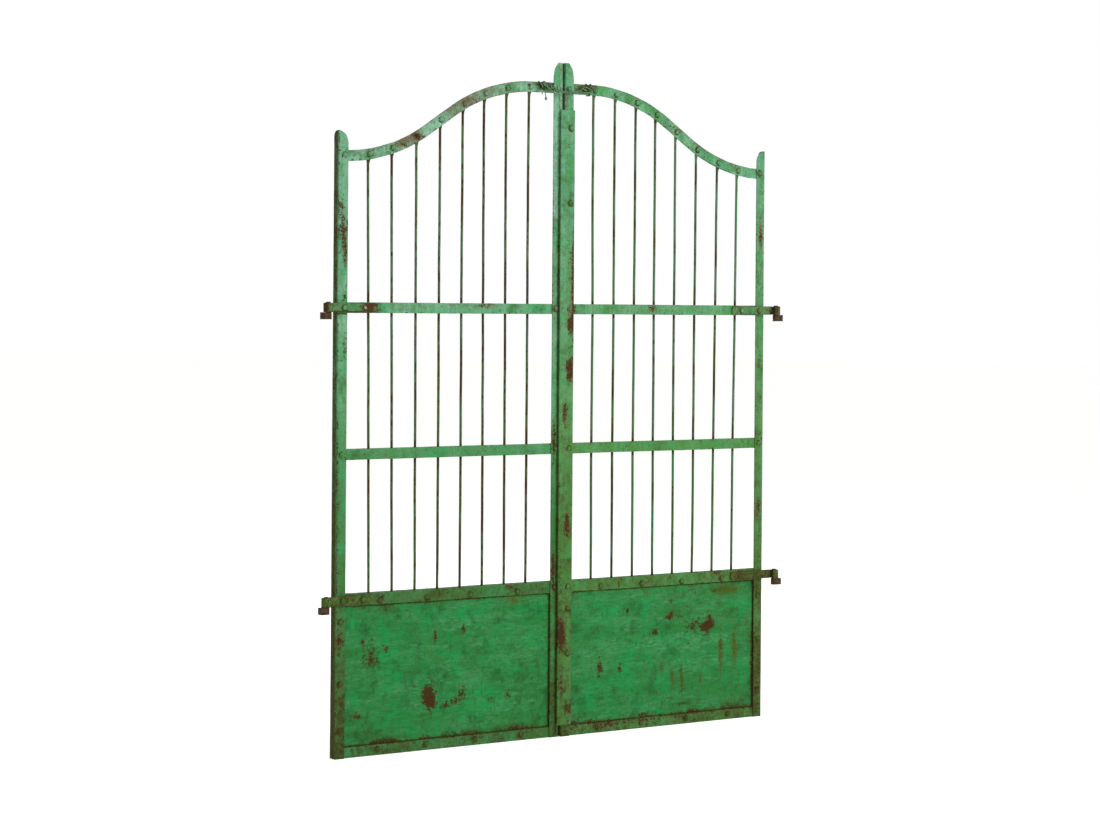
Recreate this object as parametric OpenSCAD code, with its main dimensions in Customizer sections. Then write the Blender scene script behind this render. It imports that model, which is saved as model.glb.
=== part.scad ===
// Pair of wrought iron garden gates: two riveted leaves of angle iron with round bars,
// an ogee top rail, a sheet kick panel, and rolled-eye strap hinges hung on four pintles.
//
// Gate frame: X along the gate from left to right, Y from front to back, Z up.
// Each leaf is drawn in its own leaf frame: X runs from the outer edge of the hinge
// stile to the meeting edge, Y = 0 is the front face of the stiles, Z = 0 is the foot.

/* [Leaves] */
// Width of one leaf, from the hinge stile to the meeting edge
leaf_w = 791.5; // [600:1:1200]
// Height of the hinge stile at its outer edge
hinge_stile_h = 1872; // [1700:1:2200]
// Gap between the meeting edges of the two leaves
seam_gap = 7; // [6:0.5:12]
// Distance that the left leaf hangs behind the right one, so that the strip laps it
left_setback = 5; // [5:0.5:10]

/* [Stiles] */
// Leg width of the angle iron of the stiles
stile_leg = 32; // [25:1:45]
// Thickness of the angle iron of the stiles
stile_t = 4; // [3:0.5:6]
// Radius in the inner corner of every angle iron
root_r = 3; // [1:0.5:4]
// Rise of the meeting stile above the middle of the top rail
meeting_rise = 80; // [60:1:120]
// Radius that rounds the front flange at the head of a hinge stile
hinge_head_r = 36; // [20:1:50]
// Radius that rounds the front flange at the head of a meeting stile
meeting_head_r = 18; // [12:1:26]
// Width that the front flange of a meeting stile loses below its rounding
meeting_taper = 4; // [1:0.5:6]
// Height below its head at which the front flange of a meeting stile starts to narrow
meeting_taper_h = 47; // [30:1:80]
// Radius that rounds the side flange at the head of every stile
flange_head_r = 18; // [8:1:24]

/* [Rails] */
// Height of the top of the upper rail
upper_rail_z = 1360; // [1200:1:1500]
// Height of the top of the middle rail
middle_rail_z = 921; // [750:1:1050]
// Height of the top of the lower rail
lower_rail_z = 488; // [350:1:600]
// Leg width of the angle iron of the upper, middle and bottom rails
rail_leg = 32; // [25:1:40]
// Leg width of the angle iron of the lower rail
lower_rail_leg = 35; // [25:1:40]
// Thickness of the angle iron of the rails
rail_t = 4; // [3:0.5:6]
// Gap between the end of a rail and the side flange of a stile
rail_end_gap = 1; // [0.5:0.5:4]

/* [Top rail] */
// Height of the flat bar of the top rail
top_rail_h = 33; // [25:1:45]
// Thickness of the flat bar of the top rail
top_rail_t = 5; // [4:0.5:8]
// Distance from the head of the hinge stile down to the middle of the top rail
top_rail_drop = 76; // [60:1:110]
// Steepest slope of the ogee, in degrees
ogee_angle = 34; // [20:1:40]
// Length of the straight between the two curves
ogee_straight = 111; // [20:1:200]
// Length of the level run at the hinge stile, before the first curve
ogee_start = 10; // [9:1:60]
// Length of the level run at the meeting stile, after the second curve
ogee_flat = 102; // [20:1:200]

/* [Bars] */
// Number of bars in a leaf
bar_count = 8; // [4:1:10]
// Diameter of a bar
bar_d = 8; // [6:0.5:14]
// Distance from bar to bar
bar_pitch = 79.5; // [60:0.5:110]
// Radial room for a bar in its punched hole
hole_clear = 0.3; // [0.2:0.1:1]
// Distance that a bar stands below the flange of the lower rail
bar_foot = 9; // [5:1:20]
// Width of the forged head of a bar
head_w = 17; // [14:1:24]
// Thickness of the forged head of a bar
head_t = 4; // [3:0.5:6]
// Length of the forged taper below the head of a bar
head_taper = 40; // [25:1:60]

/* [Kick panel] */
// Thickness of the sheet
panel_t = 1.5; // [1:0.25:1.5]
// Distance from the edge of the sheet to the flanges around it
panel_gap = 2; // [1:0.5:5]

/* [Cover strip] */
// Width of the cover strip
strip_w = 52; // [45:1:70]
// Thickness of the cover strip
strip_t = 5; // [3:0.5:8]
// Distance that the strip laps the left leaf, from the middle of the seam
strip_lap = 14; // [12:1:24]
// Height of the foot of the strip
strip_foot = 37; // [10:1:120]
// Distance from the head of the strip up to the middle of the top rail
strip_head_drop = 68; // [40:1:200]

/* [Hinges] */
// Height of a strap
strap_h = 28; // [22:1:32]
// Thickness of a strap
strap_t = 6; // [4:0.5:8]
// Length of a strap over the leaf
strap_reach = 129; // [100:1:200]
// Length of the crank that sets a strap back on to its rail
strap_crank = 9; // [6:1:20]
// Diameter of the pin
pin_d = 16; // [12:1:20]
// Radial room for the pin in the eye
pin_clear = 0.5; // [0.3:0.1:1]
// Distance from the outer edge of the leaf to the axis of the pins
axis_out = 40; // [30:1:60]
// Angle that the rolled end turns through, from the strap to its lip
eye_wrap = 227; // [200:1:260]

/* [Pintles] */
// Distance from the axis of the pin to the flat face on the post
pintle_reach = 22; // [20:1:80]
// Width of the shoulder round the pin, that the eye turns on
shoulder_w = 2.5; // [2:0.5:4]
// Room between an eye and the shoulder that it turns on
shoulder_gap = 0.3; // [0.2:0.1:1]
// Length of the pin above the eye
pin_proud = 3; // [3:1:20]
// Chamfer at the head of the pin
pin_chamfer = 2; // [1:0.5:4]

/* [Latch wire] */
// Diameter of the tie wire
wire_d = 3; // [2:0.5:4]
// Diameter of the latch pin
latch_pin_d = 5; // [4:0.5:8]
// Distance from the meeting edge of the left leaf to the latch pin
latch_in = 56; // [50:1:100]
// Length of the latch pin in front of the top rail
latch_out = 20; // [12:1:30]

/* [Hidden] */

$fn = 96;
cut = 1;

paint = "#4f9068";
old_paint = "#5f7340";
rust = "#6e4632";
wire_green = "#7fb59a";

half_w = leaf_w + seam_gap / 2;

// Top rail: the middle line of the ogee, in the leaf frame
ogee_low_z = hinge_stile_h - top_rail_drop;
slope_w = ogee_straight * cos(ogee_angle);
slope_h = ogee_straight * sin(ogee_angle);
ogee_end = leaf_w - ogee_flat;
curve_w = (ogee_end - ogee_start - slope_w) / 2;
ogee_r = curve_w / sin(ogee_angle);
curve_h = ogee_r * (1 - cos(ogee_angle));
ogee_high_z = ogee_low_z + 2 * curve_h + slope_h;
function ogee_z(x) =
    x <= ogee_start ? ogee_low_z
  : x <= ogee_start + curve_w ?
        ogee_low_z + ogee_r - sqrt(ogee_r ^ 2 - (x - ogee_start) ^ 2)
  : x <= ogee_start + curve_w + slope_w ?
        ogee_low_z + curve_h + (x - ogee_start - curve_w) * tan(ogee_angle)
  : x <= ogee_end ?
        ogee_high_z - ogee_r + sqrt(ogee_r ^ 2 - (ogee_end - x) ^ 2)
  : ogee_high_z;

ogee_step = ogee_angle / 20;

meeting_stile_h = ogee_high_z + meeting_rise;

// Depths, from the front face of the stiles
rail_front = stile_t;
rail_back = rail_front + rail_t;
top_rail_back = rail_front + top_rail_t;
bar_y = rail_back + bar_d / 2 + 2;
rail_end = stile_t + root_r + rail_end_gap;

// Bars: each leans a little from its foot to its head, as they were forged by eye
bar_lean = [-12, -11, -5, -1, 0, -3, -2, 1, 1, 0];
bar_first = (leaf_w - (bar_count - 1) * bar_pitch) / 2;
bar_foot_z = lower_rail_z - rail_t - bar_foot;
function foot_x(i) = bar_first + i * bar_pitch;
function head_x(i) = foot_x(i) + bar_lean[i];
function bar_x(i, z) =
    foot_x(i) + bar_lean[i] * (z - bar_foot_z) / (ogee_z(head_x(i)) - bar_foot_z);

// Hinges and pintles
eye_r = pin_d / 2 + pin_clear + strap_t;
axis_y = -eye_r;
upper_hinge_z = upper_rail_z - rail_leg / 2;
lower_hinge_z = lower_rail_z - lower_rail_leg / 2;
shank_w = pin_d + 2 * shoulder_w;
mount_x = -half_w - axis_out - pintle_reach;
mount_z = lower_hinge_z - strap_h / 2 - shoulder_gap - shank_w / 2;
mount_y = axis_y + left_setback;

// Wires: [across from the seam, depth, height above the middle of the top rail]
wire_off = wire_d / 2 + 0.3;
half_rail = top_rail_h / 2;
left_front = rail_front + left_setback;
left_back = top_rail_back + left_setback;

// Half a turn over the top rail, from its back to its front, between two places along it
function over_rail(from, to, front, back) =
    let (d = wire_off, c = 0.71 * wire_off, bends = [[back + d, half_rail],
        [back + c, half_rail + c], [back, half_rail + d], [front, half_rail + d],
        [front - c, half_rail + c], [front - d, half_rail]])
    [for (i = [0 : 5]) [from + (to - from) * i / 5, bends[i][0], bends[i][1]]];

// Half a turn under the top rail, from its front to its back
function under_rail(from, to, front, back) =
    [for (p = over_rail(to, from, front, back)) [p[0], p[1], -p[2]]];
function turned(path) = [for (i = [len(path) - 1 : -1 : 0]) path[i]];

tie_path = concat([[105, top_rail_back + wire_off, -4]],
    over_rail(104, 100, rail_front, top_rail_back),
    turned(under_rail(96, 91, rail_front, top_rail_back)),
    over_rail(88, 84, rail_front, top_rail_back),
    [[79, 0, 11], [70, -2, 4], [55, -3, -6], [30, -3, -10], [0, -3, -12], [-25, -3, -14],
     [-36, -3, -10], [-46, -3, 0], [-53, -3, 9], [-57, -3, 14], [-62, -3, 14], [-65, -3, 9],
     [-62, -3, 1], [-52, -3, -9], [-42, -4.5, -17], [-32, -6.5, -20], [-24, -7, -17],
     [-14, -6.8, -10]]);
hook_path = concat([[-73, left_back + wire_off, -20]],
    over_rail(-71, -68, left_front, left_back),
    [[-67, left_front - wire_off, 0], [-66, left_front - wire_off, -20], [-65, 6.5, -34],
     [-64, 6, -40]]);

catch_at = [leaf_w - latch_in, ogee_high_z + top_rail_h / 4];
strip_x = half_w - strip_w + strip_lap;
strip_h = ogee_high_z - strip_head_drop - strip_foot;

// Places a piece drawn in the gate frame so that the origin is on the lower left pintle
module hang() {
    translate([-mount_x, -mount_y, -mount_z]) children();
}

// Places a piece drawn in the leaf frame as part of the left leaf
module left() {
    hang() translate([-half_w, left_setback, 0]) children();
}

// Places a piece drawn in the leaf frame as part of the right leaf
module right() {
    hang() mirror([1, 0, 0]) translate([-half_w, 0, 0]) children();
}

// Section of an angle iron with its corner at the origin and its legs along +X and +Y
module angle_section(leg, t) {
    square([leg, t]);
    square([t, leg]);
    difference() {
        translate([t, t]) square(root_r);
        translate([t + root_r, t + root_r]) circle(root_r);
    }
}

// Outline of a flange at its head: level from its heel, rounded, then out to its full width
module head_outline(stile_h, r, taper = 0, taper_h = 0) {
    flat = max(0, stile_leg - taper - r);
    square([stile_leg + cut, stile_h - max(r, taper_h)]);
    if (taper > 0)
        polygon([[0, stile_h - taper_h], [stile_leg, stile_h - taper_h],
                 [stile_leg - taper, stile_h - r], [0, stile_h - r]]);
    if (flat > 0) translate([0, stile_h - r]) square([flat, r]);
    intersection() {
        translate([0, stile_h - r - cut]) square([stile_leg - taper, r + cut]);
        translate([stile_leg - taper - r, stile_h - r]) circle(r);
    }
}

// Stile with its side flange at X = 0 and both flanges rounded at its head
module stile(stile_h, r, taper = 0, taper_h = 0) {
    intersection() {
        linear_extrude(stile_h) angle_section(stile_leg, stile_t);
        translate([0, stile_leg + cut, 0]) rotate([90, 0, 0])
            linear_extrude(stile_leg + 2 * cut) head_outline(stile_h, r, taper, taper_h);
        translate([-cut, 0, 0]) rotate([90, 0, 90])
            linear_extrude(stile_leg + 2 * cut) head_outline(stile_h, flange_head_r);
    }
}

module hinge_stile() {
    color(paint) stile(hinge_stile_h, hinge_head_r);
}

module meeting_stile() {
    color(paint) translate([leaf_w, 0, 0]) mirror([1, 0, 0])
        stile(meeting_stile_h, meeting_head_r, meeting_taper, meeting_taper_h);
}

// Length of rail between the side flanges of the stiles
module rail_run(z) {
    translate([rail_end, rail_front, z]) rotate([90, 0, 90])
        linear_extrude(leaf_w - 2 * rail_end) children();
}

// Rail of angle iron with its front flange down from its top, punched for the bars
module punched_rail(top_z, leg) {
    color(paint) difference() {
        rail_run(top_z) mirror([0, 1]) angle_section(leg, rail_t);
        for (i = [0 : bar_count - 1])
            translate([bar_x(i, top_z), bar_y, top_z - rail_t - root_r - cut])
                cylinder(d = bar_d + 2 * hole_clear, h = rail_t + root_r + 2 * cut);
    }
}

module bottom_rail() {
    color(old_paint) rail_run(0) angle_section(rail_leg, rail_t);
}

// Middle line of the top rail: [x, z, slope] at each step of the two curves
function ogee_line() = concat(
    [[rail_end, ogee_low_z, 0]],
    [for (a = [0 : ogee_step : ogee_angle])
        [ogee_start + ogee_r * sin(a), ogee_low_z + ogee_r * (1 - cos(a)), a]],
    [for (a = [ogee_angle : -ogee_step : 0])
        [ogee_end - ogee_r * sin(a), ogee_high_z - ogee_r * (1 - cos(a)), a]],
    [[leaf_w - rail_end, ogee_high_z, 0]]);

// Flat bar bent edgewise: level, curve, straight, counter curve, level
module top_rail(catch_hole = false) {
    line = ogee_line();
    over = [for (p = line) [p[0] - sin(p[2]) * top_rail_h / 2, p[1] + cos(p[2]) * top_rail_h / 2]];
    under = [for (i = [len(line) - 1 : -1 : 0]) let (p = line[i])
        [p[0] + sin(p[2]) * top_rail_h / 2, p[1] - cos(p[2]) * top_rail_h / 2]];
    color(paint) translate([0, top_rail_back, 0]) rotate([90, 0, 0])
        linear_extrude(top_rail_t) difference() {
            polygon(concat(over, under));
            if (catch_hole) translate(catch_at) circle(d = latch_pin_d + 2 * hole_clear);
        }
}

// Round bar, forged at its head to a flat lug that lies behind the top rail
module bar(i) {
    head_z = ogee_z(head_x(i));
    rise = head_z - bar_foot_z;
    lean = atan2(head_x(i) - foot_x(i), rise);
    difference() {
        translate([foot_x(i), bar_y, bar_foot_z]) rotate([0, lean, 0])
            cylinder(d = bar_d, h = rise - head_taper / 2);
        translate([head_x(i), top_rail_back + head_t, head_z]) rotate([0, 90, 0])
            linear_extrude(2 * bar_d, center = true)
                polygon([[-cut, 0], [head_taper / 2, 0], [head_taper + head_t, bar_d],
                         [-cut, bar_d]]);
    }
    translate([head_x(i), top_rail_back + head_t, head_z]) rotate([90, 0, 0])
        linear_extrude(head_t) {
            circle(d = head_w);
            polygon([[-bar_d / 2, -head_taper], [bar_d / 2, -head_taper], [head_w / 2, 0],
                     [-head_w / 2, 0]]);
        }
}

module bars() {
    color(paint) for (i = [0 : bar_count - 1]) bar(i);
}

// Sheet behind the flanges of the lower and bottom rails
module kick_panel() {
    low = rail_t + root_r + panel_gap;
    high = lower_rail_z - rail_t - root_r - panel_gap;
    side = stile_t + panel_gap;
    color(old_paint) translate([side, rail_back, low])
        cube([leaf_w - 2 * side, panel_t, high - low]);
}

// Strap cranked back on to the rail, with its end rolled forward round the pin. The lip stays
// open towards the leaf, by less than the pin needs to slip out.
module strap_outline() {
    over_stile = stile_leg + 1;
    bore_r = eye_r - strap_t;
    far = 2 * eye_r;
    lip = far * [-sin(eye_wrap), cos(eye_wrap)];
    translate([-axis_out, axis_y]) difference() {
        union() {
            circle(eye_r);
            translate([axis_out, eye_r])
                polygon([[-axis_out, -strap_t], [over_stile, -strap_t],
                         [over_stile + strap_crank, rail_front - strap_t],
                         [strap_reach, rail_front - strap_t], [strap_reach, rail_front],
                         [over_stile + strap_crank, rail_front], [over_stile, 0],
                         [-axis_out, 0]]);
        }
        circle(bore_r);
        polygon([[0, 0], lip, [far, lip[1]], [far, bore_r], [0, bore_r]]);
    }
}

module strap_hinge(z) {
    color(rust) translate([0, 0, z - strap_h / 2]) linear_extrude(strap_h) strap_outline();
}

// Forged pin on a square shank that ends in a flat face on the post
module pintle(z) {
    shoulder_z = z - strap_h / 2 - shoulder_gap;
    pin_h = shoulder_gap + strap_h + pin_proud;
    color(rust) translate([-axis_out, axis_y, shoulder_z]) {
        translate([0, 0, -shank_w]) cylinder(d = shank_w, h = shank_w);
        translate([-pintle_reach, -shank_w / 2, -shank_w])
            cube([pintle_reach, shank_w, shank_w]);
        translate([0, 0, -cut]) cylinder(d = pin_d, h = cut + pin_h - pin_chamfer);
        translate([0, 0, pin_h - pin_chamfer])
            cylinder(d1 = pin_d, d2 = pin_d - 2 * pin_chamfer, h = pin_chamfer);
    }
}

// Flat bar riveted to the right leaf, which laps the left one and covers the seam
module strip() {
    color(paint) translate([strip_x, -strip_t, strip_foot]) cube([strip_w, strip_t, strip_h]);
}

function unit(v) = v / norm(v);
function along(p, i) = unit(p[min(i + 1, len(p) - 1)] - p[max(i - 1, 0)]);
function square_off(v, t) = unit(v - (v * t) * t);
function side_at(p, i) =
    i == 0 ? square_off([0.3, 1, 0.2], along(p, 0)) : square_off(side_at(p, i - 1), along(p, i));

// Wire of few sides that follows a path
module wire(path, d, sides = 8) {
    last = len(path) - 1;
    rings = [for (i = [0 : last]) let (t = along(path, i), s = side_at(path, i), c = cross(t, s))
        for (k = [0 : sides - 1]) let (a = 360 * k / sides)
            path[i] + d / 2 * (cos(a) * s + sin(a) * c)];
    skin = [for (i = [0 : last - 1], k = [0 : sides - 1]) let (n = (k + 1) % sides)
        [i * sides + n, i * sides + k, (i + 1) * sides + k, (i + 1) * sides + n]];
    polyhedron(points = rings, convexity = 4, faces = concat(skin,
        [[for (k = [0 : sides - 1]) k]],
        [[for (k = [sides - 1 : -1 : 0]) last * sides + k]]));
}

// Stub of rod through the left top rail, which the loop of the tie wire hangs on
module catch_pin() {
    color(rust) translate([catch_at[0], top_rail_back, catch_at[1]]) rotate([90, 0, 0])
        cylinder(d = latch_pin_d, h = top_rail_t + latch_out);
}

// Wire drawn across both leaves at the height of the top rail
module top_wire(path) {
    color(wire_green) hang() translate([0, 0, ogee_high_z]) wire(path, wire_d);
}

left() hinge_stile();  // left_hinge_stile
left() meeting_stile();  // left_meeting_stile
left() top_rail(catch_hole = true);  // left_top_rail
left() punched_rail(upper_rail_z, rail_leg);  // left_upper_rail
left() punched_rail(middle_rail_z, rail_leg);  // left_middle_rail
left() punched_rail(lower_rail_z, lower_rail_leg);  // left_lower_rail
left() bottom_rail();  // left_bottom_rail
left() kick_panel();  // left_kick_panel
left() bars();  // left_bars
left() strap_hinge(upper_hinge_z);  // left_upper_hinge
left() strap_hinge(lower_hinge_z);  // left_lower_hinge
left() catch_pin();  // latch_pin
top_wire(hook_path);  // hook_wire
right() hinge_stile();  // right_hinge_stile
right() meeting_stile();  // right_meeting_stile
right() top_rail();  // right_top_rail
right() punched_rail(upper_rail_z, rail_leg);  // right_upper_rail
right() punched_rail(middle_rail_z, rail_leg);  // right_middle_rail
right() punched_rail(lower_rail_z, lower_rail_leg);  // right_lower_rail
right() bottom_rail();  // right_bottom_rail
right() kick_panel();  // right_kick_panel
right() bars();  // right_bars
right() strap_hinge(upper_hinge_z);  // right_upper_hinge
right() strap_hinge(lower_hinge_z);  // right_lower_hinge
right() strip();  // cover_strip
top_wire(tie_path);  // wire_tie
left() pintle(upper_hinge_z);  // left_upper_pintle
left() pintle(lower_hinge_z);  // left_lower_pintle
right() pintle(upper_hinge_z);  // right_upper_pintle
right() pintle(lower_hinge_z);  // right_lower_pintle
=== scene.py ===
"""Weathered green wrought iron garden gate: two riveted leaves hung on four pintles.

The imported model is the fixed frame. This script gives every part its worn surface: angle iron with
rounded arrises, hand set rivets, drawn bars, dented sheet, rolled hinges and the wire that ties the
leaves. Lengths inside the classes are millimetres in one of two frames, and are turned into the
row frame's metres only when a mesh is made:

- the gate frame: X along the gate from the seam, Y back from the right leaf's front, Z up;
- the leaf frame: X from the hinge stile's outer edge to the meeting edge, Y back from the leaf's
  own front, Z up from its foot. The right leaf is the mirror image of the left one.
"""

import logging
import math
from collections.abc import Iterator, Mapping, Sequence
from contextlib import contextmanager
from dataclasses import dataclass, field
from enum import Enum
from typing import Any

import bmesh
import bpy
import numpy as np
from mathutils import Matrix, Vector


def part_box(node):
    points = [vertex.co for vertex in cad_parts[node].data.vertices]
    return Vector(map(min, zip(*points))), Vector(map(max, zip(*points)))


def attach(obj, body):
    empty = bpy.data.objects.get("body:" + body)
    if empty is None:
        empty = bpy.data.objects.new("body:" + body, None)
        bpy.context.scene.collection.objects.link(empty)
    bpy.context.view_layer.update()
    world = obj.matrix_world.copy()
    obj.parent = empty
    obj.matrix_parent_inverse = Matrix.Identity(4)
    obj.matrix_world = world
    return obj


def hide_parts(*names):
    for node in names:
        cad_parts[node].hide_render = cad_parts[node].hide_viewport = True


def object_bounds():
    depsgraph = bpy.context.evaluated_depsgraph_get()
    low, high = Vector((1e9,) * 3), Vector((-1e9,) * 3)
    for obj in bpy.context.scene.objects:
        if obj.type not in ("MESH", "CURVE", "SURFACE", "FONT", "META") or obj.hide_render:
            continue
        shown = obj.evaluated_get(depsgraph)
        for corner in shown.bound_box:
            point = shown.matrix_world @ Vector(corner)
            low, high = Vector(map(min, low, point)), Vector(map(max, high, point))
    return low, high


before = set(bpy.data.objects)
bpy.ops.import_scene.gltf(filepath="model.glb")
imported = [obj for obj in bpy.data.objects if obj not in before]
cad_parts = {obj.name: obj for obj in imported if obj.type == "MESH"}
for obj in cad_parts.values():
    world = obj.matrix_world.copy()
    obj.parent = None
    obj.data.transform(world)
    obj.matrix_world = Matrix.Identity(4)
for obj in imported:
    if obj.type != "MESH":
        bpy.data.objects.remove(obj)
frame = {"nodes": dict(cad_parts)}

Array = np.ndarray
Material = bpy.types.Material
NodeTree = bpy.types.NodeTree
Socket = bpy.types.NodeSocket
Corners = Sequence[tuple[float, float, float]]

LOG = logging.getLogger("gate")
MM = 0.001
CAD_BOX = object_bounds()
ALONG, BACK, UP = np.eye(3)
NO_RIVETS = np.zeros((0, 2))
# The most that a mark counts for, and the fall that leaves half of a stain at its rim.
MARK_LIMIT, RIM_FALL = 1.4, 0.693
# Inputs of the noise and of the ramp nodes, in the order in which the tables below give them, and
# the settings of a node that lays one colour over another.
NOISE = ("Vector", "Scale", "Detail", "Roughness")
RAMP = ("Value", "From Min", "From Max", "To Max")
COLOURED: dict[str, Any] = {"out": 2, "data_type": "RGBA"}


class Side(Enum):
    """Which of the two leaves a piece belongs to."""

    LEFT = "left"
    RIGHT = "right"


class Mark(Enum):
    """What a stain is made of, and the channel of the mark attribute that carries it. The grime
    channel also carries painted shade and painted shadows.
    """

    RUST = 0
    GRIME = 1
    OCHRE = 2


# -- Frames, noise and meshes ---------------------------------------------------------------------


@dataclass(frozen=True)
class GateFrame:
    """The gate frame inside the row frame, with the box that nothing may leave."""

    origin: Array
    low: Array
    high: Array

    @classmethod
    def read(cls) -> "GateFrame":
        """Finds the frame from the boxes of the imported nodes.

        Returns:
            The gate frame.
        """
        seam = (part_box("left_meeting_stile")[1].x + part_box("right_meeting_stile")[0].x) / 2
        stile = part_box("right_hinge_stile")[0]
        return cls(np.array((seam, stile.y, stile.z)), np.array(CAD_BOX[0]), np.array(CAD_BOX[1]))

    def to_row(self, points: Array) -> Array:
        """Turns gate millimetres into row metres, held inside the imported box."""
        return np.clip(points * MM + self.origin, self.low, self.high)

    def from_row(self, points: Array) -> Array:
        """Turns row metres into gate millimetres."""
        return (points - self.origin) / MM

    def box(self, node: str) -> Array:
        """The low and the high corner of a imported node, in gate millimetres."""
        return self.from_row(np.array([tuple(corner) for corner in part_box(node)]))


@dataclass(frozen=True)
class LeafFrame:
    """Where one leaf hangs in the gate frame."""

    side: Side
    width: float
    half_seam: float
    setback: float

    @classmethod
    def read(cls, side: Side, gate: GateFrame) -> "LeafFrame":
        """Finds a leaf's frame from the boxes of its two stiles.

        Args:
            side: The leaf.
            gate: The gate frame.

        Returns:
            The leaf's frame.
        """
        hinge, meeting = (gate.box(f"{side.value}_{end}_stile") for end in ("hinge", "meeting"))
        inner, outer = np.abs(meeting[:, 0]).min(), np.abs(hinge[:, 0]).max()
        return cls(side, float(outer - inner), float(inner), float(hinge[0][1]))

    def to_gate(self, points: Array) -> Array:
        """Turns rows of leaf millimetres into gate millimetres.

        Args:
            points: Rows of X, Y and Z in the leaf frame.

        Returns:
            The same rows in the gate frame.
        """
        sign = -1.0 if self.side is Side.LEFT else 1.0
        across = sign * (self.half_seam + self.width - points[:, 0])
        return np.column_stack((across, points[:, 1] + self.setback, points[:, 2]))


def ripple(points: Array, size: float, seed: int) -> Array:
    """A smooth random field, for bends, dents and hammering.

    Args:
        points: Rows of coordinates, of any width.
        size: Length of a typical wave, in the same unit.
        seed: What picks the field.

    Returns:
        One value a row, mostly between -1 and 1.
    """
    rng = np.random.default_rng(seed)
    waves = rng.normal(size=(8, points.shape[1])) * (2.0 * math.pi / size) * 0.6
    phases = rng.uniform(0.0, 2.0 * math.pi, 8)
    return np.clip(np.sin(points @ waves.T + phases).mean(axis=1) * 2.2, -1.3, 1.3)


def bell(distance: Array, width: float) -> Array:
    """A share that is 1 at no distance and falls to about a third at this width."""
    return np.exp(-((distance / width) ** 2))


def unit(rows: Array) -> Array:
    """Rows of directions, each of length 1."""
    return rows / np.linalg.norm(rows, axis=1)[:, None]


def run_of(line: Array) -> Array:
    """Distance along a line of points to each of them."""
    return np.concatenate(([0.0], np.cumsum(np.linalg.norm(np.diff(line, axis=0), axis=1))))


def plain(name: str, points: Array, edges: Any = (), faces: Any = ()) -> bpy.types.Mesh:
    """A new mesh from points in row metres, with its edges or faces.

    Args:
        name: Name of the mesh.
        points: Its places.
        edges: Pairs of points.
        faces: Rings of points.

    Returns:
        The mesh.
    """
    mesh = bpy.data.meshes.new(name)
    mesh.from_pydata(points.tolist(), edges, faces)
    return mesh


@contextmanager
def worked(mesh: bpy.types.Mesh) -> Iterator[bmesh.types.BMesh]:
    """Opens a mesh for bmesh operations and writes it back when they are done.

    Args:
        mesh: The mesh.

    Yields:
        The mesh as bmesh operations take it.
    """
    work = bmesh.new()
    work.from_mesh(mesh)
    yield work
    work.to_mesh(mesh)
    work.free()


def coords(mesh: bpy.types.Mesh, kind: str = "co") -> Array:
    """The places of a mesh's vertices, as "co" in row metres, or as "normal" their normals.

    Args:
        mesh: The mesh.
        kind: What to read.

    Returns:
        A row for each vertex.
    """
    values = np.empty(len(mesh.vertices) * 3)
    mesh.vertices.foreach_get(kind, values)
    return values.reshape(-1, 3)


def put(mesh: bpy.types.Mesh, name: str, values: Array) -> None:
    """Stores one number or three at each vertex of a mesh.

    Args:
        mesh: The mesh.
        name: Name of the attribute.
        values: A value or a row for each vertex.
    """
    kind, key = ("FLOAT", "value") if values.ndim == 1 else ("FLOAT_VECTOR", "vector")
    layer = mesh.attributes.new(name, kind, "POINT")
    layer.data.foreach_set(key, values.astype(np.float32).ravel())


def linked(name: str, data: bpy.types.ID) -> bpy.types.Object:
    """A new object in the scene.

    Args:
        name: Name of the object.
        data: What it holds.

    Returns:
        The object.
    """
    made = bpy.data.objects.new(name, data)
    bpy.context.scene.collection.objects.link(made)
    return made


def outward(mesh: bpy.types.Mesh) -> None:
    """Points every face of a closed mesh outwards."""
    with worked(mesh) as work:
        bmesh.ops.recalc_face_normals(work, faces=work.faces)


@dataclass
class Skin:
    """A closed mesh before it is placed, with how exposed and how soiled each point is; on a stile's
    side flange the soil also paints shade.
    """

    points: Array
    faces: list[tuple[int, ...]]
    arris: Array
    soil: Array | float = 0.0


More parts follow.
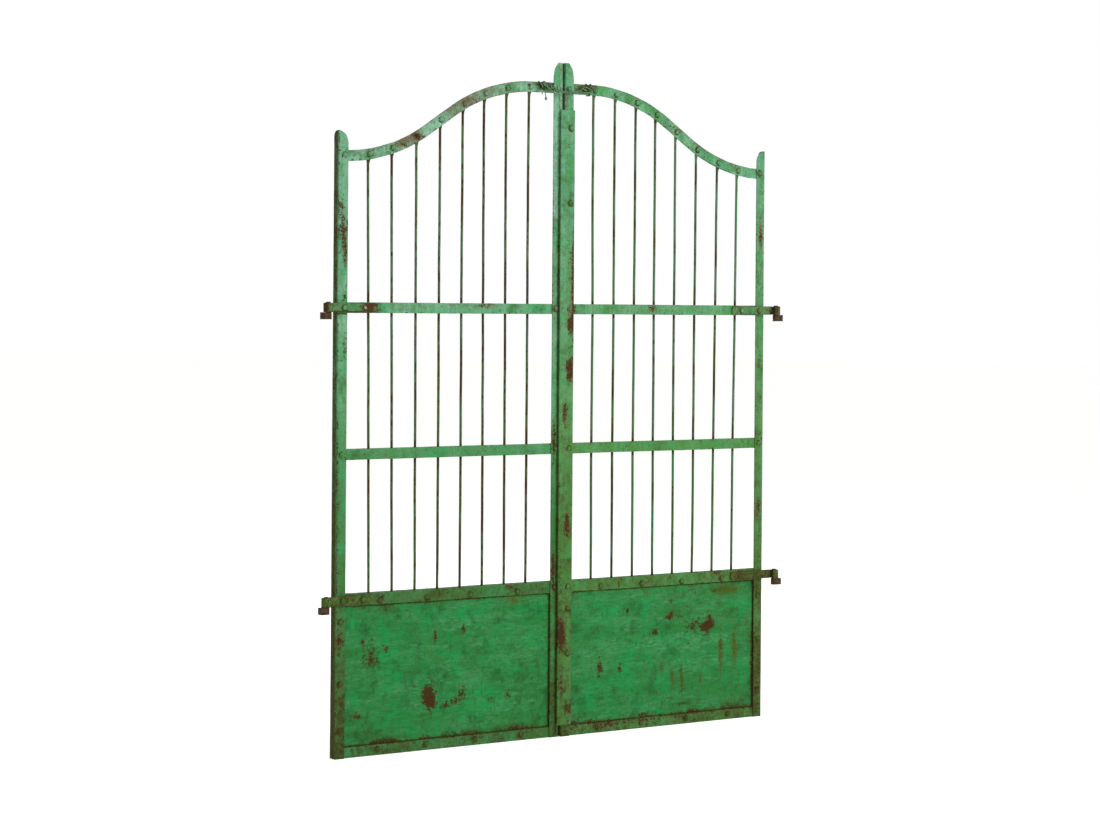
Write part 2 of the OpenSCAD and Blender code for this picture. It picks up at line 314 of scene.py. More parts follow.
@dataclass(frozen=True)
class Section:
    """The closed outline of a rolled bar.

    Attributes:
        corners: X, Y and radius of each corner, in order round the outline.
        step: Spacing of the points along its flats.
        margin: Distance from a corner to the first point on each flat.
        wear: How far from a corner its arris is worn.
    """

    corners: Corners
    step: float = 4.0
    margin: float = 2.0
    wear: float = 2.4

    @classmethod
    def flat(
        cls, xs: Sequence[float], ys: Sequence[float], *radii: float, **spacing: float
    ) -> "Section":
        """A flat bar.

        Args:
            xs: Its two X.
            ys: Its two Y.
            *radii: Radius of the corners at the low Y, and at the high Y.
            **spacing: Step and margin.

        Returns:
            The section.
        """
        places = ((xs[0], 0), (xs[1], 0), (xs[1], 1), (xs[0], 1))
        return cls(tuple((x, ys[k], radii[k]) for x, k in places), **spacing)

    def shares(self, length: float) -> Array:
        """Where the points of one flat lie, as shares of its length.

        Args:
            length: Length of the flat.

        Returns:
            The shares, from near 0 to near 1.
        """
        if length < 2.6 * self.margin:
            return np.array([0.5])
        inner = max(1, round((length - 2 * self.margin) / self.step))
        return np.linspace(self.margin / length, 1.0 - self.margin / length, inner + 1)

    def points(self, corners: Corners | None = None) -> Array:
        """The outline's points, always as many, for these corners or the nominal ones.

        Args:
            corners: Corners moved from the nominal ones, as where a flange is clipped.

        Returns:
            Rows of X and Y.
        """
        at, nominal = np.array(corners or self.corners), np.array(self.corners)
        rows: list[Array] = []
        for i, (here, radius) in enumerate(zip(at[:, :2], at[:, 2])):
            k = (i + 1) % len(at)
            ahead, behind = (
                (other - here) / max(1e-6, np.linalg.norm(other - here))
                for other in (at[k][:2], at[i - 1][:2])
            )
            start, end = here + behind * radius, here + ahead * radius
            for s in (0.0, 0.5, 1.0):
                rows.append((1 - s) ** 2 * start + 2 * s * (1 - s) * here + s**2 * end)
            following = at[k][:2] - ahead * at[k][2]
            length = float(np.linalg.norm(nominal[k][:2] - nominal[i][:2]))
            for s in self.shares(length - nominal[i][2] - nominal[k][2]):
                rows.append(end + (following - end) * s)
        return np.array(rows)

    def arris(self) -> Array:
        """How near each point is to an outer corner, from 0 to 1.

        Returns:
            One value for each point of the outline.
        """
        at = np.array(self.corners)[:, :2]
        turn = np.cross(at - np.roll(at, 1, axis=0), np.roll(at, -1, axis=0) - at)
        outer = at[turn * turn.sum() > 0]
        gap = np.linalg.norm(self.points()[:, None, :] - outer[None, :, :], axis=2).min(axis=1)
        return bell(gap, self.wear)

    def along(self, origins: Array, u: Array, v: Array, outlines: Array | None = None) -> Skin:
        """Carries the outline along a path, and closes the bar with a cap at each end.

        Args:
            origins: The stations.
            u: The direction of the outline's X, one for all stations or one for each.
            v: The direction of its Y.
            outlines: The outline's points at each station, where they change.

        Returns:
            The closed mesh.
        """
        flat = self.points() if outlines is None else outlines
        u, v = (np.broadcast_to(way, origins.shape)[:, None, :] for way in (u, v))
        rings = origins[:, None, :] + flat[..., 0:1] * u + flat[..., 1:2] * v
        count, around = rings.shape[:2]
        faces: list[tuple[int, ...]] = []
        for low in range(0, (count - 1) * around, around):
            high = low + around
            for k in range(around):
                n = (k + 1) % around
                faces.append((low + k, low + n, high + n, high + k))
        faces.append(tuple(range(around - 1, -1, -1)))
        faces.append(tuple(range((count - 1) * around, count * around)))
        exposure = np.tile(self.arris(), (count, 1))
        exposure[[0, -1]] = np.maximum(exposure[[0, -1]], 0.7)
        return Skin(rings.reshape(-1, 3), faces, exposure.ravel())


# -- Weather: what age has left on each part of the gate ------------------------------------------


@dataclass(frozen=True)
class Stain:
    """One mark in the paint, in gate millimetres, fading from its middle to its rim."""

    mark: Mark
    x: float
    z: float
    width: float
    height: float
    strength: float = 1.0

    def cover(self, at: Array) -> Array:
        """How strongly it shows at these points: its strength in the middle, half at its rim.

        Args:
            at: Points in gate millimetres.

        Returns:
            One value for each point.
        """
        reach = ((at[:, 0] - self.x) / (self.width / 2)) ** 2
        reach += ((at[:, 2] - self.z) / (self.height / 2)) ** 2
        return self.strength * np.exp(-RIM_FALL * reach)


@dataclass(frozen=True)
class Weather:
    """How one kind of part has aged: an even share of each mark and what gathers where, with painted
    shadows beside its rivets.

    Attributes:
        rust: Even share of rust, before its noise.
        grime: Even share of grime.
        arris_rust: Rust added along worn outer edges.
        foot_grime: Grime added towards the foot of the gate.
        foot: Height below which that grime starts.
        stains: The marks that stand out.
        crescent: Distance from a rivet's middle to the painted shadow beside its head, and its
            width.
        settle: How far that painted shadow lies to the left and down, away from the light.
    """

    rust: float = 0.12
    grime: float = 0.10
    arris_rust: float = 0.24
    foot_grime: float = 0.62
    foot: float = 760.0
    stains: tuple[Stain, ...] = ()
    crescent: tuple[float, float] = (7.8, 1.8)
    settle: tuple[float, float] = (-1.3, -1.5)

    def marks(self, at: Array, arris: Array, rivets: Array) -> Array:
        """Rust, grime with painted rivet shadows, and ochre at each point.

        Args:
            at: Points in gate millimetres.
            arris: How exposed each point is.
            rivets: X and Z of the rivets near this part, in gate millimetres.

        Returns:
            Rows of the three marks.
        """
        marks = np.zeros((len(at), 3))
        marks[:, 0] = self.rust + self.arris_rust * arris * (0.6 + 0.7 * ripple(at, 160.0, 5))
        low = np.clip((self.foot - at[:, 2]) / (0.8 * self.foot), 0.0, 1.0)
        marks[:, 1] = self.grime + self.foot_grime * low * (0.8 + 0.25 * ripple(at, 210.0, 6))
        # Painted shadow: a dark crescent beside each rivet head, shifted left and down away from the
        # light, with a little rust in it.
        if len(rivets):
            sunk = rivets + np.array(self.settle)
            gap = np.linalg.norm(at[:, None, [0, 2]] - sunk[None, :, :], axis=2).min(axis=1)
            ring = bell(gap - self.crescent[0], self.crescent[1])
            marks[:, 1] += 1.3 * ring
            marks[:, 0] += 0.12 * ring * (0.5 + ripple(at, 90.0, 7))
        for stain in self.stains:
            marks[:, stain.mark.value] += stain.cover(at)
        return np.clip(marks, 0.0, MARK_LIMIT)


@dataclass(frozen=True)
class PanelWeather(Weather):
    """Weather of a sheet: grime and rust gather along the flanges around it, with painted shade
    beside them and a painted shadow line at their edges.

    Attributes:
        low: Height of the flange below.
        high: Height of the flange above.
        inner: Distance from the seam to the meeting stile's flange.
        outer: Distance from the seam to the hinge stile's flange.
        hidden: Width that the flanges hide in front and that shows behind.
    """

    low: float = 0.0
    high: float = 0.0
    inner: float = 0.0
    outer: float = 0.0
    hidden: float = 28.0

    def marks(self, at: Array, arris: Array, rivets: Array) -> Array:
        """Rust, grime with painted shade, and ochre at each point of the sheet, its front half
        first.

        Args:
            at: Points in gate millimetres.
            arris: How exposed each point is.
            rivets: X and Z of the rivets, in gate millimetres.

        Returns:
            Rows of the three marks.
        """
        marks = super().marks(at, arris, rivets)
        across, z = np.abs(at[:, 0]), at[:, 2]
        ragged = np.clip(6.5 + 6.0 * ripple(at, 34.0, 8), 2.5, None)
        behind = np.where(np.arange(len(at)) < len(at) // 2, 0.0, self.hidden)
        # Along each flange: ragged grime and rust, a wider darkening that is painted shade as much
        # as grime, and a thin dark line that is the flange's painted shadow.
        for gap, share in (
            (z - self.low, 1.0),
            (self.high - z, 0.55),
            (across - self.inner, 0.25),
            (self.outer - across, 0.35),
        ):
            away = np.abs(gap + behind)
            close, wide = np.exp(-away / ragged), np.exp(-away / 40.0)
            marks[:, 1] += share * (0.62 * close + 0.20 * wide) + bell(away, 3.0)
            marks[:, 0] += share * 0.46 * close
        marks[:, 0] += 0.08 * ripple(at, 120.0, 9)
        marks[:, 1] += 0.14 * ripple(at, 150.0, 10)
        return np.clip(marks, 0.0, MARK_LIMIT)


# -- Finishes -------------------------------------------------------------------------------------


def srgb(code: str) -> tuple[float, float, float, float]:
    """Turns a colour written as "#RRGGBB" into linear red, green and blue, and full alpha.

    Args:
        code: The colour.

    Returns:
        The four values.
    """
    parts = [int(code[i : i + 2], 16) / 255 for i in (1, 3, 5)]
    linear = [c / 12.92 if c <= 0.04045 else ((c + 0.055) / 1.055) ** 2.4 for c in parts]
    return (linear[0], linear[1], linear[2], 1.0)


def add(tree: NodeTree, kind: str, feeds: Any = (), out: int | str = 0, **settings: Any) -> Any:
    """Adds a node to a tree, with its settings, values and links.

    Args:
        tree: The tree that the node goes in.
        kind: Its type, less the word for its kind of tree; an operation follows a colon.
        feeds: Its inputs, in order or by place or name, each a value or the socket that feeds it.
        out: The output to hand back.
        **settings: The node's own settings.

    Returns:
        The chosen output socket, or None from a node that has no output.
    """
    kind, _, operation = kind.partition(":")
    if operation:
        settings["operation"] = operation
    full = (first + kind for first in ("ShaderNode", "GeometryNode", "FunctionNode", ""))
    node = tree.nodes.new(next(name for name in full if hasattr(bpy.types, name)))
    for name, value in settings.items():
        setattr(node, name, value)
    for key, value in feeds.items() if isinstance(feeds, Mapping) else enumerate(feeds):
        if isinstance(value, Socket):
            tree.links.new(value, node.inputs[key])
        else:
            node.inputs[key].default_value = value
    return node.outputs[out] if len(node.outputs) else None


def blank(name: str) -> tuple[Material, NodeTree]:
    """A new material and its empty tree.

    Args:
        name: Name of the material.

    Returns:
        The material and its tree.
    """
    made = bpy.data.materials.new(name)
    made.use_nodes = True
    made.node_tree.nodes.clear()
    return made, made.node_tree


@dataclass(frozen=True)
class GatePaint:
    """Old brushed oil paint over wrought iron or sheet, chalked by the sun and lifted by rust.

    To the eye it is a semi-matt green with brush marks, paler and bluer towards the top of the
    gate and deeper below, soiled olive where water and dust collect, darkened where the grime mark
    paints shade and shadows, and broken by flakes that bare brown rust, which is rougher and lies a
    little lower than the paint.

    Attributes:
        name: Name of the material.
        upper: Paint near the top of the gate.
        middle: Paint half way up.
        lower: Paint near its foot.
        chalk: Sun bleached film.
        fresh: Paint that has kept its colour.
        shade: Deeper paint, where the film is thick.
        dust: Thin film of dust over the paint.
        soil: Grime in the olive of old dust and oil, which also colours painted shade.
        soil_dark: Grime where it is thick, and deep painted shade.
        rust: Rust in the open.
        rust_dark: Rust that holds soil.
        ochre: Rusty water that has run down and dried.
        bloom: Thin rust round a rusty patch.
        brush: Stretch of the brush marks along X, Y and Z; small numbers lie along the stroke.
        grain: The same for every other pattern.
        chips: How readily small flakes are missing, from 0 to 1.
        scuff: Strength of the fine mottled scratches.
        mottle: Strength of the dark furrows between brush marks.
        sun: How far chalk covers the paint near the foot and near the head.
        halo: Strength of the brown wash round a rusty patch.
        streak: Stretch of dried runs along Z; a small number makes long runs.
        roughness: Roughness of the sound paint, where a brush mark is lowest and highest.
        gloss: Specular level left to the chalked film.
    """

    name: str
    upper: str
    middle: str
    lower: str
    chalk: str
    fresh: str
    shade: str
    dust: str = "#62702A"
    soil: str = "#4B4D16"
    soil_dark: str = "#262410"
    rust: str = "#563B20"
    rust_dark: str = "#2B1E10"
    ochre: str = "#685A44"
    bloom: str = "#52462A"
    brush: tuple[float, float, float] = (1.0, 1.0, 0.12)
    grain: tuple[float, float, float] = (1.0, 1.0, 1.0)
    chips: float = 0.35
    scuff: float = 0.5
    mottle: float = 0.35
    sun: tuple[float, float] = (0.3, 0.9)
    halo: float = 0.75
    streak: float = 0.6
    roughness: tuple[float, float] = (0.52, 0.74)
    gloss: float = 0.14

    def material(self, foot: float, head: float) -> Material:
        """Builds the material.

        Args:
            foot: Height of the gate's foot in the row frame.
            head: Height of its head.

        Returns:
            The new material.
        """
        made, tree = blank(self.name)
        place = add(tree, "TexCoord", out="Object")
        height = add(tree, "SeparateXYZ", (place,), out="Z")
        marks = add(tree, "Attribute", out="Vector", attribute_name="marks")
        rust_mark, soil_and_shade_mark, ochre_mark = add(tree, "SeparateXYZ", (marks,)).node.outputs
        arris = add(tree, "Attribute", out="Fac", attribute_name="arris")
        at = add(tree, "Mapping", {"Vector": place, "Scale": Vector(self.grain)})
        stroke_at, level_at, plumb_at, run_at = (
            add(tree, "Mapping", {"Vector": at, "Scale": Vector(stretch)})
            for stretch in (
                self.brush, (0.18, 1.0, 1.0), (1.0, 1.0, 0.18), (1.0, 1.0, self.streak)
            )
        )
        waves = [
            add(tree, "TexNoise", dict(zip(NOISE, row)))
            for row in (
                (at, 9.0, 5.0, 0.55),  # clouds 110 mm across
                (stroke_at, 230.0, 4.0, 0.6),  # brush marks 4 mm wide
                (stroke_at, 24.0, 7.0, 0.66),  # patches of them, 40 mm wide
                (at, 14.0, 9.0, 0.66),  # paint that has kept its colour, 70 mm across, torn edges
                (at, 19.0, 9.0, 0.70),  # thick film, 50 mm across
                (stroke_at, 120.0, 7.0, 0.8),  # furrows of the brush, 8 mm wide, that hold dust
                (level_at, 135.0, 5.0, 0.75),  # level scratches, 8 mm apart
                (plumb_at, 120.0, 5.0, 0.75),  # upright scratches, 8 mm apart
                (at, 100.0, 5.0, 0.78),  # specks, 10 mm apart
                (at, 110.0, 7.0, 0.75),  # grime in clouds 9 mm across
                (at, 22.0, 6.0, 0.66),  # and 45 mm across
                (run_at, 170.0, 6.0, 0.68),  # dried runs, 6 mm wide
                (at, 90.0, 9.0, 0.74),  # ragged rims of rust, 11 mm across
                (at, 300.0, 4.0, 0.75),  # small flakes, 3 mm across
                (at, 240.0, 8.0, 0.75),  # grain of the rust, 4 mm across
            )
        ]
        cloud, stroke, patch, kept, deep, furrow, level, plumb = waves[:8]
        dots, grit, smear, run, rag, speck, tone = waves[8:]

        # Paint: three greens by height, and chalk in patches of brush marks.
        rise, chip = head - foot, self.chips
        lifted = add(tree, "Math:MULTIPLY_ADD", (cloud, 0.30, height))
        low_climb, climb, patchy, brushed, thick, open_rust = (
            add(tree, "MapRange", dict(zip(RAMP, row)))
            for row in (
                (lifted, foot + 0.41 * rise, foot + 0.57 * rise),
                (lifted, foot + 0.50 * rise, foot + 0.90 * rise),
                (patch, 0.42, 0.60),
                (stroke, 0.30, 0.62),
                (grit, 0.36, 0.66),
                (tone, 0.34, 0.62),
            )
        )
        sunned, film = (
            add(tree, "MapRange", {"Value": value, "To Min": low, "To Max": high})
            for value, (low, high) in ((climb, self.sun), (stroke, self.roughness))
        )
        chalked = add(tree, "Math:MULTIPLY", (patchy, brushed))
        chalky = add(tree, "Math:MULTIPLY", (chalked, sunned))
        greens = {0: low_climb, 6: srgb(self.lower), 7: srgb(self.middle)}
        colour = add(tree, "Mix", greens, **COLOURED)
        colour = add(tree, "Mix", {0: climb, 6: colour, 7: srgb(self.upper)}, **COLOURED)
        colour = add(tree, "Mix", {0: chalky, 6: colour, 7: srgb(self.chalk)}, **COLOURED)

        # What breaks it: scratches, grime and painted shade by their mark, and brown wash by those
        # of ochre and rust.
        lines = add(tree, "Math:MAXIMUM", (level, plumb))
        scratches = add(tree, "Math:MAXIMUM", (lines, dots))
        clouded = add(tree, "Math:ADD", (grit, smear))
        soiled = add(tree, "Math:MULTIPLY_ADD", (clouded, 1.6, soil_and_shade_mark))
        running = add(tree, "Math:MULTIPLY_ADD", (run, 1.9, ochre_mark))
        near_rust = add(tree, "Math:MULTIPLY_ADD", (run, 1.4, rust_mark))
        soil = add(tree, "Mix", {0: thick, 6: srgb(self.soil), 7: srgb(self.soil_dark)}, **COLOURED)
        masks: dict[str, Socket] = {}
        for name, curve, above, *row in (
            ("kept", "LINEAR", srgb(self.fresh), kept, 0.50, 0.62, 0.85),
            ("deep", "LINEAR", srgb(self.shade), deep, 0.52, 0.68, 0.85),
            ("furrow", "LINEAR", srgb(self.shade), furrow, 0.48, 0.66, self.mottle),
            ("scratch", "LINEAR", srgb(self.soil), scratches, 0.56, 0.70, self.scuff),
            ("dust", "LINEAR", srgb(self.dust), soil_and_shade_mark, 0.05, 1.0, 0.62),
            ("soil", "SMOOTHSTEP", soil, soiled, 1.82, 2.65, 0.94),
            ("run", "LINEAR", srgb(self.ochre), running, 1.26, 1.86, 0.92),
            ("halo", "SMOOTHSTEP", srgb(self.bloom), near_rust, 0.96, 1.50, self.halo),
        ):
            masks[name] = add(tree, "MapRange", dict(zip(RAMP, row)), interpolation_type=curve)
            colour = add(tree, "Mix", {0: masks[name], 6: colour, 7: above}, **COLOURED)

        # Rust: the mark plus the worn arrises, with ragged rims and flakes 4 to 10 mm across.
        flake = add(tree, "TexVoronoi", {"Vector": at, "Scale": 210.0, "Randomness": 1.0})
        flaky = add(tree, "Math:MULTIPLY_ADD", (flake, -0.22, rag))
        lifting = add(tree, "Math:MULTIPLY_ADD", (flaky, 3.4, rust_mark))
        chipped = add(tree, "Math:MULTIPLY_ADD", (arris, 0.10, speck))
        bare = add(tree, "Math:MAXIMUM", [
            add(tree, "MapRange", dict(zip(RAMP, row)))
            for row in (
                (lifting, 1.90 - 0.16 * chip, 2.06 - 0.16 * chip, 0.94),
                (chipped, 0.72 - 0.05 * chip, 0.77 - 0.05 * chip, 0.85),
            )
        ])
        browns = {0: open_rust, 6: srgb(self.rust_dark), 7: srgb(self.rust)}
        rust = add(tree, "Mix", browns, **COLOURED)
        colour = add(tree, "Mix", {0: bare, 6: colour, 7: rust}, **COLOURED)

        # Surface: paint half matt, grime and rust dull, flakes lower than the film.
        dulled = add(tree, "Mix", {0: masks["soil"], 2: film, 3: 0.78})
        rough = add(tree, "Mix", {0: bare, 2: dulled, 3: 0.9})
        pit = add(tree, "Math:MULTIPLY_ADD", (tone, 0.5, -0.6))
        step = add(tree, "Math:MULTIPLY", (bare, pit))
        relief = add(tree, "Math:MULTIPLY_ADD", (stroke, 0.45, step))
        bumped = add(tree, "Bump", {"Height": relief, "Strength": 0.55, "Distance": 0.0006})
        look = {"Base Color": colour, "Roughness": rough, "Normal": bumped, "IOR": 1.5}
        look |= {"Specular IOR Level": self.gloss, "Metallic": 0.0}
        add(tree, "OutputMaterial", {"Surface": add(tree, "BsdfPrincipled", look)})
        return made


@dataclass(frozen=True)
class BareIron:
    """Forged wrought iron left bare or long since bare: dark scale, brown rust and worn metal.

    To the eye it is nearly black brown, rough, with a dull grey gleam where parts rub.

    Attributes:
        name: Name of the material.
        scale_colour: Black forge scale.
        rust: Brown rust on top of it.
        worn: Rubbed metal.
        rusted: Share of the surface that rust covers.
        metal: Share of the surface that is rubbed bright.
    """

    name: str
    scale_colour: str = "#2A261D"
    rust: str = "#513B26"
    worn: str = "#6E6A60"
    rusted: float = 0.7
    metal: float = 0.12

    def material(self) -> Material:
        """Builds the material and returns it.

        Returns:
            The new material.
        """
        made, tree = blank(self.name)
        at = add(tree, "TexCoord", out="Object")
        arris = add(tree, "Attribute", out="Fac", attribute_name="arris")
        # Rust lies in patches 12 mm across, pitted at about 1 mm.
        patch, pits = (
            add(tree, "TexNoise", dict(zip(NOISE, (at, scale, detail, 0.7))))
            for scale, detail in ((85.0, 8.0), (700.0, 6.0))
        )
        rubbed = add(tree, "Math:MULTIPLY_ADD", (arris, 0.25, pits))
        rusty, bright = (
            add(tree, "MapRange", dict(zip(RAMP, (value, low - less, high - less))))
            for value, low, high, less in (
                (patch, 0.66, 0.78, 0.35 * self.rusted),
                (rubbed, 0.78, 0.90, 0.3 * self.metal),
            )
        )
        browns = {0: rusty, 6: srgb(self.scale_colour), 7: srgb(self.rust)}
        iron = add(tree, "Mix", browns, **COLOURED)
        colour = add(tree, "Mix", {0: bright, 6: iron, 7: srgb(self.worn)}, **COLOURED)
        rough = add(tree, "Mix", {0: bright, 2: 0.82, 3: 0.42})
        shine = add(tree, "Mix", {0: bright, 2: 0.15, 3: 0.9})
        bumped = add(tree, "Bump", {"Height": pits, "Strength": 0.6, "Distance": 0.0008})
        look = {"Base Color": colour, "Roughness": rough, "Metallic": shine, "Normal": bumped}
        look["Specular IOR Level"] = 0.3
        add(tree, "OutputMaterial", {"Surface": add(tree, "BsdfPrincipled", look)})
        return made


# The record's slot and the look of each finish. The greens of a paint stand in the order upper,
# middle, lower, chalk, fresh, shade.
FINISHES: dict[str, tuple[str, GatePaint | BareIron]] = {
    "frame": ("painted_iron", GatePaint(
        "oil_paint_brushed_on_rolled_iron",
        "#6A9E7C", "#529661", "#337638", "#92BCA2", "#36975C", "#34672F",
        dust="#3E5C1E", rust="#4C3014", rust_dark="#261806", mottle=0.30, sun=(0.15, 0.9),
    )),
    "bars": ("painted_iron", GatePaint(
        "oil_paint_worn_on_drawn_bars",
        "#4C7853", "#44704A", "#3A6636", "#628E68", "#36804E", "#2C4424",
        rust="#4A3420", soil="#3C3E18", soil_dark="#1A190D", ochre="#41382A",
        grain=(1.0, 1.0, 0.30), chips=0.5, scuff=0.6,
    )),
    "sheet": ("painted_sheet", GatePaint(
        "oil_paint_brushed_on_sheet_iron",
        "#24823C", "#24823C", "#217A38", "#4A9660", "#108E46", "#165624",
        dust="#3E6420", rust="#4C2B0E", rust_dark="#241404", soil="#34441A", soil_dark="#25240F",
        ochre="#444E0C", bloom="#4A4A1E", brush=(0.25, 1.0, 1.0), chips=0.45, scuff=0.80,
        mottle=0.62, sun=(0.75, 0.9), halo=0.3, streak=0.2,
    )),
    "hinge": ("hinge_iron", GatePaint(
        "oil_paint_flaked_on_forged_hinges",
        "#58875E", "#4C7C4E", "#3A6C2E", "#84AC8A", "#3B8A52", "#33501F",
        ochre="#54442F", chips=0.8, scuff=0.7, brush=(0.2, 1.0, 1.0),
    )),
    "iron": ("bare_iron", BareIron("wrought_iron_bare_and_rusted")),
    # Its soil colours are nearly black; they also colour the painted shade on the back of the wire.
    "wire": ("tie_wire", GatePaint(
        "oil_paint_flaked_on_tie_wire",
        "#567F5C", "#567F5C", "#4A6A4C", "#86AE8C", "#3F7A50", "#2A3A1E",
        soil="#1E2110", soil_dark="#0C0D06", chips=0.3, scuff=0.4,
    )),
    "shaded": ("painted_iron", GatePaint(
        "oil_paint_less_chalked_on_rolled_iron",
        "#569A77", "#50904F", "#3D7D38", "#7FB38C", "#3A9452", "#3C6A2C",
        dust="#526A2A", rust="#4C3014", rust_dark="#261806", mottle=0.30,
    )),
    "bright": ("bare_iron", BareIron(
        "wrought_iron_rubbed_bright", worn="#B4B0A4", rusted=0.1, metal=0.9
    )),
}


@dataclass
class Maker:
    """Turns meshes and node trees into finished pieces that ride on a body.

    Attributes:
        gate: The gate frame.
        looks: Material of each finish.
        made: Names of the pieces so far.
    """

    gate: GateFrame
    looks: dict[str, Material] = field(default_factory=dict)
    made: list[str] = field(default_factory=list)

    def __post_init__(self) -> None:
        """Makes each finish for a gate of this height."""
        span = float(self.gate.origin[2]), float(self.gate.high[2])
        for key, (_, look) in FINISHES.items():
            self.looks[key] = look.material(*(span if isinstance(look, GatePaint) else ()))

    def places(self, mesh: bpy.types.Mesh) -> Array:
        """The places of a mesh's vertices, in gate millimetres."""
        return self.gate.from_row(coords(mesh))

    def dress(
        self,
        piece: bpy.types.Object,
        finish: str,
        body: str,
        nodes: Sequence[str],
        marks: Array,
        arris: Array,
        sharp: float = 38.0,
    ) -> None:
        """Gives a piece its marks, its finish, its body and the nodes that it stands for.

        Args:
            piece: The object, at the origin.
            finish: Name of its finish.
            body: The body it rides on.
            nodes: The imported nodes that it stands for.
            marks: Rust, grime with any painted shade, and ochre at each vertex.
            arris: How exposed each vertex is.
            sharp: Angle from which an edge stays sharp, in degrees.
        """
        mesh = piece.data
        put(mesh, "marks", marks)
        put(mesh, "arris", arris)
        mesh.shade_smooth()
        mesh.set_sharp_from_angle(angle=math.radians(sharp))
        mesh.materials.clear()
        mesh.materials.append(self.looks[finish])
        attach(piece, body)
        if nodes:
            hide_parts(*nodes)
        self.made.append(piece.name)
        LOG.info("%s: %d faces on %s", piece.name, len(mesh.polygons), body)

    def grown(self, name: str, mesh: bpy.types.Mesh, tree: "Tree") -> bpy.types.Object:
        """Runs a Geometry Nodes tree on a mesh and keeps the result as a plain mesh.

        Args:
            name: Name of the piece.
            mesh: What the tree starts from.
            tree: The tree, with the values of its inputs.

        Returns:
            An object at the origin with no modifier.
        """
        piece = linked(name, mesh)
        modifier = piece.modifiers.new("grow", "NODES")
        modifier.node_group = tree.group
        for identifier, value in tree.values.items():
            modifier[identifier] = value
        depsgraph = bpy.context.evaluated_depsgraph_get()
        result = bpy.data.meshes.new_from_object(piece.evaluated_get(depsgraph))
        piece.modifiers.remove(modifier)
        piece.data = result
        outward(result)
        return piece


# -- Geometry Nodes: rivets, bars and wires -------------------------------------------------------


@dataclass
class Tree:
    """A Geometry Nodes tree with named inputs and the values that the modifier gets."""

    group: NodeTree
    values: dict[str, float]
    size: Mapping[str, Socket]

    @classmethod
    def begin(cls, name: str, **inputs: float) -> "Tree":
        """Starts a tree with a Geometry input and one number for each named size.

        Args:
            name: Name of the tree.
            **inputs: Value of each size, by its name in small letters.

        Returns:
            The tree.
        """
        group = bpy.data.node_groups.new(name, "GeometryNodeTree")
        for way in ("INPUT", "OUTPUT"):
            group.interface.new_socket("Geometry", in_out=way, socket_type="NodeSocketGeometry")
        values: dict[str, float] = {}
        for key, value in inputs.items():
            label = key.replace("_", " ").title()
            made = group.interface.new_socket(label, in_out="INPUT", socket_type="NodeSocketFloat")
            values[made.identifier] = float(value)
        return cls(group, values, group.nodes.new("NodeGroupInput").outputs)

    def sway(self, scale: float, detail: float, reach: Socket) -> Socket:
        """A random push at each point, picked by the input named Seed.

        Args:
            scale: Waves in a metre.
            detail: Detail of the noise.
            reach: Length of the push.

        Returns:
            The push.
        """
        feeds = {"Vector": add(self.group, "InputPosition"), "W": self.size["Seed"]}
        feeds |= {"Scale": scale, "Detail": detail}
        noise = add(self.group, "TexNoise", feeds, out="Color", noise_dimensions="4D")
        centred = add(self.group, "VectorMath:SUBTRACT", (noise, (0.5, 0.5, 0.5)))
        return add(self.group, "VectorMath:SCALE", {0: centred, "Scale": reach})

    def end(self, geometry: Socket, look: Material) -> "Tree":
        """Closes the tree: real geometry, one material, and the output.

        Args:
            geometry: What the tree has made.
            look: The material it gets.

        Returns:
            The closed tree.
        """
        real = add(self.group, "RealizeInstances", (geometry,))
        dressed = add(self.group, "SetMaterial", {"Geometry": real, "Material": look})
        add(self.group, "NodeGroupOutput", (dressed,))
        return self


@dataclass(frozen=True)
class Rivet:
    """One rivet through a stack of plates, in leaf millimetres."""

    x: float
    z: float
    front: float
    back: float
    size: float = 1.0
    bare: bool = False


